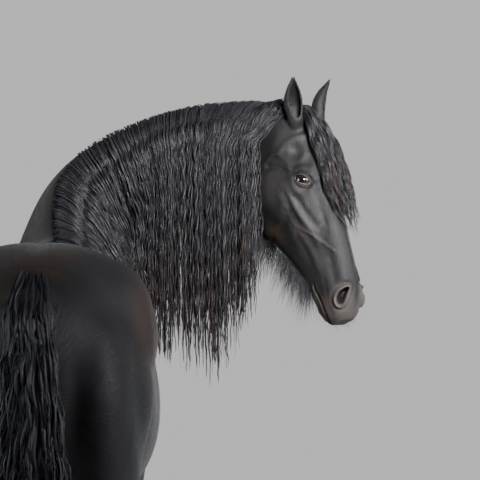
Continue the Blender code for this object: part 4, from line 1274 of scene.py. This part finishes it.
def lashes(count=46, steps=7):  # on the upper lids
    paths, ups = [], []
    out, along, up = eyeAxes
    outline = openingOutline("eye", 720) * 1.05
    for side in (1, -1):
        for turn in np.linspace(0.12, 0.86, count) * pi + random.normal(0, 0.02, count):
            p, q = outline[int(turn / (2 * pi) * 720) % 720]
            rise = sqrt((eye["radius"] + eye["lid"]) ** 2 - p * p - q * q) - 0.0008
            root = eyePlace + p * along + q * up + rise * out
            way = unit(out * 0.9 + up * 0.25 + along * (p * 18) + random.normal(0, 0.1, 3))
            size = random.uniform(0.008, 0.014)
            v = np.linspace(0, 1, steps)[:, None]
            points = (root + size * (way * v + v**2 * (0, 0.405, -0.225))) * (side, 1, 1)
            paths.append(moved(points, headMatrix) + shiftRow)
            ups.append(moved(np.tile(up * (side, 1, 1), (steps, 1)), headMatrix.to_3x3().to_4x4()))
    paths = np.array(paths)
    tubes("lashes", paths, taper(*paths.shape[:2], 0.0006, 0.3), np.array(ups), 0.8)


lashes()


def eyeball(side):
    bm = bmesh.new()
    bmesh.ops.create_uvsphere(bm, u_segments=72, v_segments=48, radius=1)
    mesh = meshFrom("eyeball", bm)
    p, q, h = pointsOf(mesh).T
    size = eye["radius"] + 0.0011 * np.clip(1 - (p / 0.8) ** 2 - (q / 0.66) ** 2, 0, 1) * (h > 0)
    attribute(mesh, "acrossEye", p * (h > 0) + 2 * (h <= 0))
    attribute(mesh, "upEye", q)
    points = spread(eyePlace, eyeAxes, p * size, q * size, h * size) * (side, 1, 1)
    setPoints(mesh, moved(points, headMatrix) + shiftRow)
    if side < 0:
        mesh.flip_normals()
    mesh.shade_smooth()
    return placed("eyeball_right" if side > 0 else "eyeball_left", mesh)


hoof = {
    "coronet": 0.082,
    "slope": 0.28,
    "rings": 9,
    "ringDepth": 0.0004,
}
# share of the height in thousandths, half width, half depth, distance back
hoofRows = [
    (1060, 47, 53, 48), (1000, 49.6, 55.6, 46), (940, 49.8, 55.7, 44), (600, 55.6, 60.6, 30),
    (80, 61.8, 66.8, 4), (20, 61.6, 66.6, 2), (0, 60, 65, 2),
]


def hoofPiece(name):
    foot = footPlace(name)
    rings = []
    for share, width, depth, back in through(metres(hoofRows), 7):
        ripple = hoof["ringDepth"] * sin(2 * pi * hoof["rings"] * share) * (0.1 < share < 0.95)
        ring = []
        for x, y in oval(72, width + ripple, depth + ripple, depth * 0.9 + ripple, 2.0, 2.5):
            edge = hoof["coronet"] + hoof["slope"] * (y - back + 0.046)
            ring.append((foot.x + x, foot.y + y - back, max(0.0, share) * edge))
        rings.append(ring)
    mesh = loft("hoof", rings)
    mesh.transform(Matrix.Translation(shift))
    mesh.shade_smooth()
    return placed("horn_" + name, mesh)


eyes = {"eye_right": eyeball(1), "eye_left": eyeball(-1)}
hooves = {"hoof_" + name: hoofPiece(name) for name in feet}
print("eyes and hooves made")


class NodeMaker:  # adds linked nodes to one material or node group
    def __init__(self, tree):
        self.tree = tree

    def feed(self, socket, value):
        if isinstance(value, bpy.types.NodeSocket):
            self.tree.links.new(value, socket)
        else:
            socket.default_value = (*value, 1) if socket.type == "RGBA" else value

    def node(self, kind, inputs, **settings):  # inputs by their names or numbers
        made = self.tree.nodes.new("ShaderNode" + kind)
        for key, value in settings.items():
            setattr(made, key, value)
        for socket, value in inputs.items():
            self.feed(made.inputs[socket], value)
        return made

    def add(self, kind, inputs, out=0, **settings):
        return self.node(kind, inputs, **settings).outputs[out]

    def maths(self, operation, *values, clamp=False):
        return self.add("Math", dict(enumerate(values)), operation=operation, use_clamp=clamp)

    def times(self, first, second):
        return self.maths("MULTIPLY", first, second)

    def blend(self, share, first, second):
        return self.add("Mix", {0: share, 6: first, 7: second}, 2, data_type="RGBA")

    def ramp(self, value, low, high):
        return self.add("MapRange", {0: value, 1: low, 2: high}, interpolation_type="SMOOTHSTEP")

    def reading(self, name):  # the value of one of the mesh's own attributes
        return self.add("Attribute", {}, "Fac", attribute_name=name)

    def place(self):
        return self.add("TexCoord", {}, "Object")

    def grain(self, where, stretch, detail=3.0, rough=0.5):
        return self.add("Group", {0: where, 1: stretch, 2: detail, 3: rough}, node_tree=grainGroup)


class Surface(NodeMaker):  # a material with its shader's sockets
    def __init__(self, name):
        self.material = bpy.data.materials.new(name)
        self.material.use_nodes = True
        super().__init__(self.material.node_tree)

    def set(self, **values):
        shader = self.tree.nodes["Principled BSDF"]
        for name, value in values.items():
            self.feed(shader.inputs[name.replace("_", " ")], value)

    def bump(self, height, strength, distance):
        values = {"Height": height, "Strength": strength, "Distance": distance}
        self.set(Normal=self.add("Bump", values))


def newGroup(name, inputs, outputs):  # a node group's maker, what comes in, and the sockets that go out
    tree = bpy.data.node_groups.new(name, "ShaderNodeTree")
    for sockets, way in ((inputs, "INPUT"), (outputs, "OUTPUT")):
        for socket, kind in sockets.items():
            tree.interface.new_socket(socket, in_out=way, socket_type="NodeSocket" + kind)
    given, made = tree.nodes.new("NodeGroupInput"), tree.nodes.new("NodeGroupOutput")
    return NodeMaker(tree), given.outputs, made.inputs


# fine lines, clouds or fibres: noise in stretched coordinates
sockets = {"Vector": "Vector", "Stretch": "Vector", "Detail": "Float", "Roughness": "Float"}
maker, given, made = newGroup("grain", sockets, {"Value": "Float"})
grainGroup = maker.tree
where = maker.add("Mapping", {"Vector": given["Vector"], "Scale": given["Stretch"]})
noise = {"Vector": where, "Scale": 1.0, "Detail": given["Detail"], "Roughness": given["Roughness"]}
maker.feed(made["Value"], maker.add("TexNoise", noise))

hairLook = {
    "black": (0.006, 0.0058, 0.007),
    "pale": (0.036, 0.034, 0.042),
    "rust": (0.043, 0.018, 0.012),
}
# the colour of hair, and the fine lines along it; the darker lines are painted shade in the gaps between
# hairs, and the tone differs at random from strand to strand
maker, given, made = newGroup("hair colour", {"Rust": "Float"}, {"Color": "Color", "Lines": "Float"})
hairGroup = maker.tree
tone = maker.reading("tone")
run = {"X": ("across", 1300.0), "Y": ("run", 9.0), "Z": ("tone", 300.0)}
run = {axis: maker.times(maker.reading(name), scale) for axis, (name, scale) in run.items()}
lines = maker.grain(maker.add("CombineXYZ", run), (1, 1, 1), 2.0, 0.6)
streaks = maker.grain(maker.place(), (38, 38, 5), 2.0)
# the darker lines are painted shade between hairs
shade = maker.times(maker.ramp(lines, 0.3, 0.7), maker.maths("ADD", tone, 0.25))
# tufts on the face are lightened by dusty hair and a painted highlight, as on the skin
shade = maker.maths("MAXIMUM", shade, maker.times(maker.reading("dust"), 0.7))
base = maker.blend(shade, hairLook["black"], hairLook["pale"])
tips = maker.times(maker.ramp(streaks, 0.42, 0.66), given["Rust"])
tips = maker.times(maker.ramp(maker.reading("along"), 0.5, 1.0), tips)
tips = maker.maths("MAXIMUM", tips, maker.times(maker.reading("brown"), 0.8), clamp=True)
maker.feed(made["Color"], maker.blend(tips, base, hairLook["rust"]))
maker.feed(made["Lines"], lines)


def hairMaterial(name, rust, shine, stripes):
    paint = Surface(name)
    colour, lines = paint.node("Group", {"Rust": rust}, node_tree=hairGroup).outputs
    rough = paint.maths("MULTIPLY_ADD", lines, 0.2, shine)
    paint.set(Base_Color=colour, Roughness=rough, Specular_IOR_Level=0.4)
    paint.bump(lines, stripes, 0.001)
    return paint.material


furLook = {
    "black": (0.009, 0.0086, 0.0096),
    "dusty": (0.016, 0.015, 0.0162),
    "rust": (0.048, 0.023, 0.012),
    # lighter grey where the face is lit: dusty hair and a painted highlight
    "grey": (0.056, 0.054, 0.0535),
    "bare": (0.064, 0.056, 0.053),
    # pale colour of the wet rims is a painted highlight on moist skin
    "wet": (0.15, 0.123, 0.116),
    # near black: painted shade inside the nostrils
    "deep": (0.003, 0.0022, 0.0022),
}


def skinMaterial():
    paint = Surface("black fur")
    lie = paint.add("UVMap", {}, uv_map="lie")
    hairs = paint.grain(lie, (55, 620, 1), 2.0, 0.6)
    clumps = paint.grain(lie, (26, 90, 1))
    patches = paint.grain(paint.place(), (5, 5, 5), 4.0)
    cracks = paint.add("TexVoronoi", {"Vector": paint.place(), "Scale": 620}, feature="DISTANCE_TO_EDGE")
    bare, brown, wet = paint.reading("bare"), paint.reading("brown"), paint.reading("wet")
    base = paint.blend(paint.ramp(patches, 0.4, 0.75), furLook["black"], furLook["dusty"])
    for share, colour in (
        # grey: dusty hair and a painted highlight on the lit face
        (paint.times(paint.reading("dust"), paint.ramp(hairs, 0.2, 0.8)), "grey"),
        (paint.times(brown, paint.ramp(patches, 0.25, 0.6)), "rust"),
        (paint.times(bare, 0.8), "bare"),
        # the wet rims: lighter as a painted highlight, and glossier
        (wet, "wet"),
        # painted shade inside the nostrils
        (paint.reading("deep"), "deep"),
    ):
        base = paint.blend(share, base, furLook[colour])
    rough = paint.maths("MULTIPLY_ADD", bare, 0.1, paint.maths("MULTIPLY_ADD", clumps, 0.2, 0.47))
    rough = paint.maths("SUBTRACT", rough, paint.times(wet, 0.28), clamp=True)
    paint.set(Base_Color=base, Roughness=rough, Specular_IOR_Level=0.28)
    paint.set(Sheen_Weight=0.05, Sheen_Roughness=0.35)
    furry = paint.maths("SUBTRACT", 1.0, bare, clamp=True)
    height = paint.times(paint.maths("ADD", hairs, clumps), furry)
    creases = paint.times(paint.ramp(cracks, 0.0, 0.25), paint.times(bare, 0.35))
    paint.bump(paint.maths("ADD", height, creases), 0.75, 0.0013)
    return paint.material


def eyeMaterial():
    paint = Surface("dark eye")
    spot = paint.add("CombineXYZ", {"X": paint.reading("acrossEye"), "Y": paint.reading("upEye")})

    def beyond(width, height, low, high):  # 0 inside an oval, 1 outside it
        scaled = paint.add("Mapping", {"Vector": spot, "Scale": (1 / width, 1 / height, 1)})
        return paint.ramp(paint.add("VectorMath", {0: scaled}, "Value", operation="LENGTH"), low, high)

    fibres = paint.grain(paint.place(), (900, 900, 900), 4.0, 0.7)
    iris = paint.blend(fibres, (0.006, 0.0032, 0.0026), (0.022, 0.0105, 0.007))
    white = paint.blend(fibres, (0.09, 0.06, 0.052), (0.17, 0.12, 0.105))
    base = paint.blend(beyond(0.86, 0.76, 0.94, 1.1), iris, white)
    base = paint.blend(beyond(0.44, 0.25, 0.9, 1.12), (0.0018, 0.0018, 0.003), base)
    paint.set(Base_Color=base, Roughness=paint.times(fibres, 0.1))
    paint.set(Coat_Weight=1.0, Coat_Roughness=0.02)
    return paint.material


def hornMaterial():
    paint = Surface("hoof horn")
    tubules = paint.grain(paint.place(), (420, 420, 18))
    growth = paint.grain(paint.place(), (6, 6, 150), 2.0)
    wear = paint.grain(paint.place(), (40, 40, 40), 5.0)
    base = paint.blend(tubules, (0.017, 0.0155, 0.015), (0.04, 0.036, 0.033))
    worn = paint.times(paint.ramp(wear, 0.5, 0.75), 0.5)
    base = paint.blend(worn, base, (0.07, 0.064, 0.058))
    paint.set(Base_Color=base, Roughness=paint.ramp(wear, -0.8, 1.6))
    paint.bump(paint.maths("ADD", tubules, growth), 0.5, 0.0008)
    return paint.material


def dress(piece, material, slot, *replaced):
    piece.data.materials.append(material)
    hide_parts(*replaced)
    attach(piece, "root")


# wet rims of the lids and nostrils, with a painted highlight in their colour, most on the lower lids; and
# painted shade, near black, inside the nostrils
local = folded(fromHead(skinPoints))
wet, deep = np.zeros((2, len(local)))
for kind, place, axes, reach, strength in (
    ("eye", eyePlace, eyeAxes, 0.002, 1.0),
    ("nostril", nostril["place"], nostrilAxes, 0.007, 0.5),
):
    near = lengths(local - place) < 0.05
    _, p, q = ((local[near] - place) @ axis for axis in axes)
    d = outlineDistance(np.c_[p, q], openingOutline(kind))[0]
    # the painted highlight is strongest on the lower lids
    below = 1 - 0.75 * smoothstep(q, -0.004, 0.006) * (kind == "eye")
    wet[near] = np.maximum(wet[near], strength * below * peak(np.maximum(d, -0.0015), 0, reach))
    if kind == "nostril":
        # painted shade inside the nostril's opening
        deep[near] = smoothstep(-d, 0, 0.0045)
attribute(mesh, "wet", wet)
attribute(mesh, "deep", deep)

legs = [name.replace("front", "foreleg").replace("hind", "hindleg") for name in feet]
dress(skin, skinMaterial(), "coat", "head", "neck", "trunk", "ear_left", "ear_right", *legs)
shortHair = hairMaterial("short fur", 0.0, 0.4, 0.0)
longHair = hairMaterial("mane hair", 0.55, 0.34, 1.0)
for piece in coat:
    name = piece.name
    long = not name.startswith(("coat", "lashes"))
    node = name[:-2].replace("locks_", "").replace("_locks", "")  # the CAD node that the locks stand for
    replaced = [node] if "locks" in name and name.endswith("_1") else []
    dress(piece, longHair if long else shortHair, "hair" if long else "coat", *replaced)
eyeLook, horn = eyeMaterial(), hornMaterial()
for name, piece in eyes.items():
    dress(piece, eyeLook, "eye", name)
for name, piece in hooves.items():
    dress(piece, horn, "hoof", name)
print("materials given")

bm = bmesh.new()
bmesh.ops.create_circle(bm, cap_ends=True, segments=96, radius=9.0)
floor = placed("floor", meshFrom("floor", bm))
paint = Surface("pale floor")
away = paint.add("VectorMath", {0: paint.place()}, "Value", operation="LENGTH")
pale = paint.blend(paint.grain(paint.place(), (1.5, 1.5, 1.5)), (0.5, 0.5, 0.5), (0.54, 0.54, 0.53))
paint.set(Base_Color=pale, Alpha=paint.ramp(away, 8.5, 4.0), Roughness=0.6)
floor.data.materials.append(paint.material)
floor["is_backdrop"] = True

studio = bpy.data.worlds.new("studio")
bpy.context.scene.world = studio
studio.use_nodes = True
paint = NodeMaker(studio.node_tree)
seen, lit = (
    paint.add("Background", {"Color": colour, "Strength": strength})
    for colour, strength in (((0.62, 0.62, 0.62), 1.0), ((0.8, 0.86, 1.0), 0.15))
)
pick = paint.add("MixShader", {0: paint.add("LightPath", {}, "Is Camera Ray"), 1: lit, 2: seen})
paint.feed(studio.node_tree.nodes["World Output"].inputs["Surface"], pick)

# place, aim, size, watts, colour
lights = {
    "key": ((1.6, -1.9, 2.65), (0.85, 0.6, 1.72), 0.45, 1120, (1.0, 0.98, 0.96)),
    "broad": ((4.6, -1.4, 2.9), (0.2, 0.0, 1.3), 2.4, 210, (0.95, 0.97, 1.0)),
    "fill": ((-4.4, -0.8, 2.4), (0.0, 0.2, 1.3), 2.6, 140, (0.9, 0.94, 1.0)),
    "rim": ((-2.4, 4.2, 3.4), (0.6, 0.7, 1.95), 1.6, 12, (1.0, 0.93, 0.85)),
    "front": ((1.0, 5.0, 1.9), (0.3, 0.4, 1.2), 2.8, 80, (0.95, 0.97, 1.0)),
}
for name, (place, aim, size, watts, colour) in lights.items():
    lamp = bpy.data.lights.new(name, "SPOT" if name == "key" else "AREA")
    if name == "key":
        lamp.shadow_soft_size = size
        lamp.spot_size = radians(62)
        lamp.spot_blend = 1.0
    else:
        lamp.size = size
    lamp.energy = watts
    lamp.color = colour
    holder = placed(name, lamp)
    holder.visible_camera = False
    holder.location = Vector(place) + shift
    holder.rotation_euler = (Vector(aim) - Vector(place)).to_track_quat("-Z", "Y").to_euler()

view = {"place": Vector((0.511, -8.3, 1.6)), "lens": 232.9}
camera = placed("camera", bpy.data.cameras.new("camera"))
camera.data.lens = view["lens"]
camera.data.clip_end = 100
camera.location = view["place"] + shift
camera.rotation_euler = (pi / 2, 0, 0)
bpy.context.scene.camera = camera

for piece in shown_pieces():
    piece.data.calc_loop_triangles()
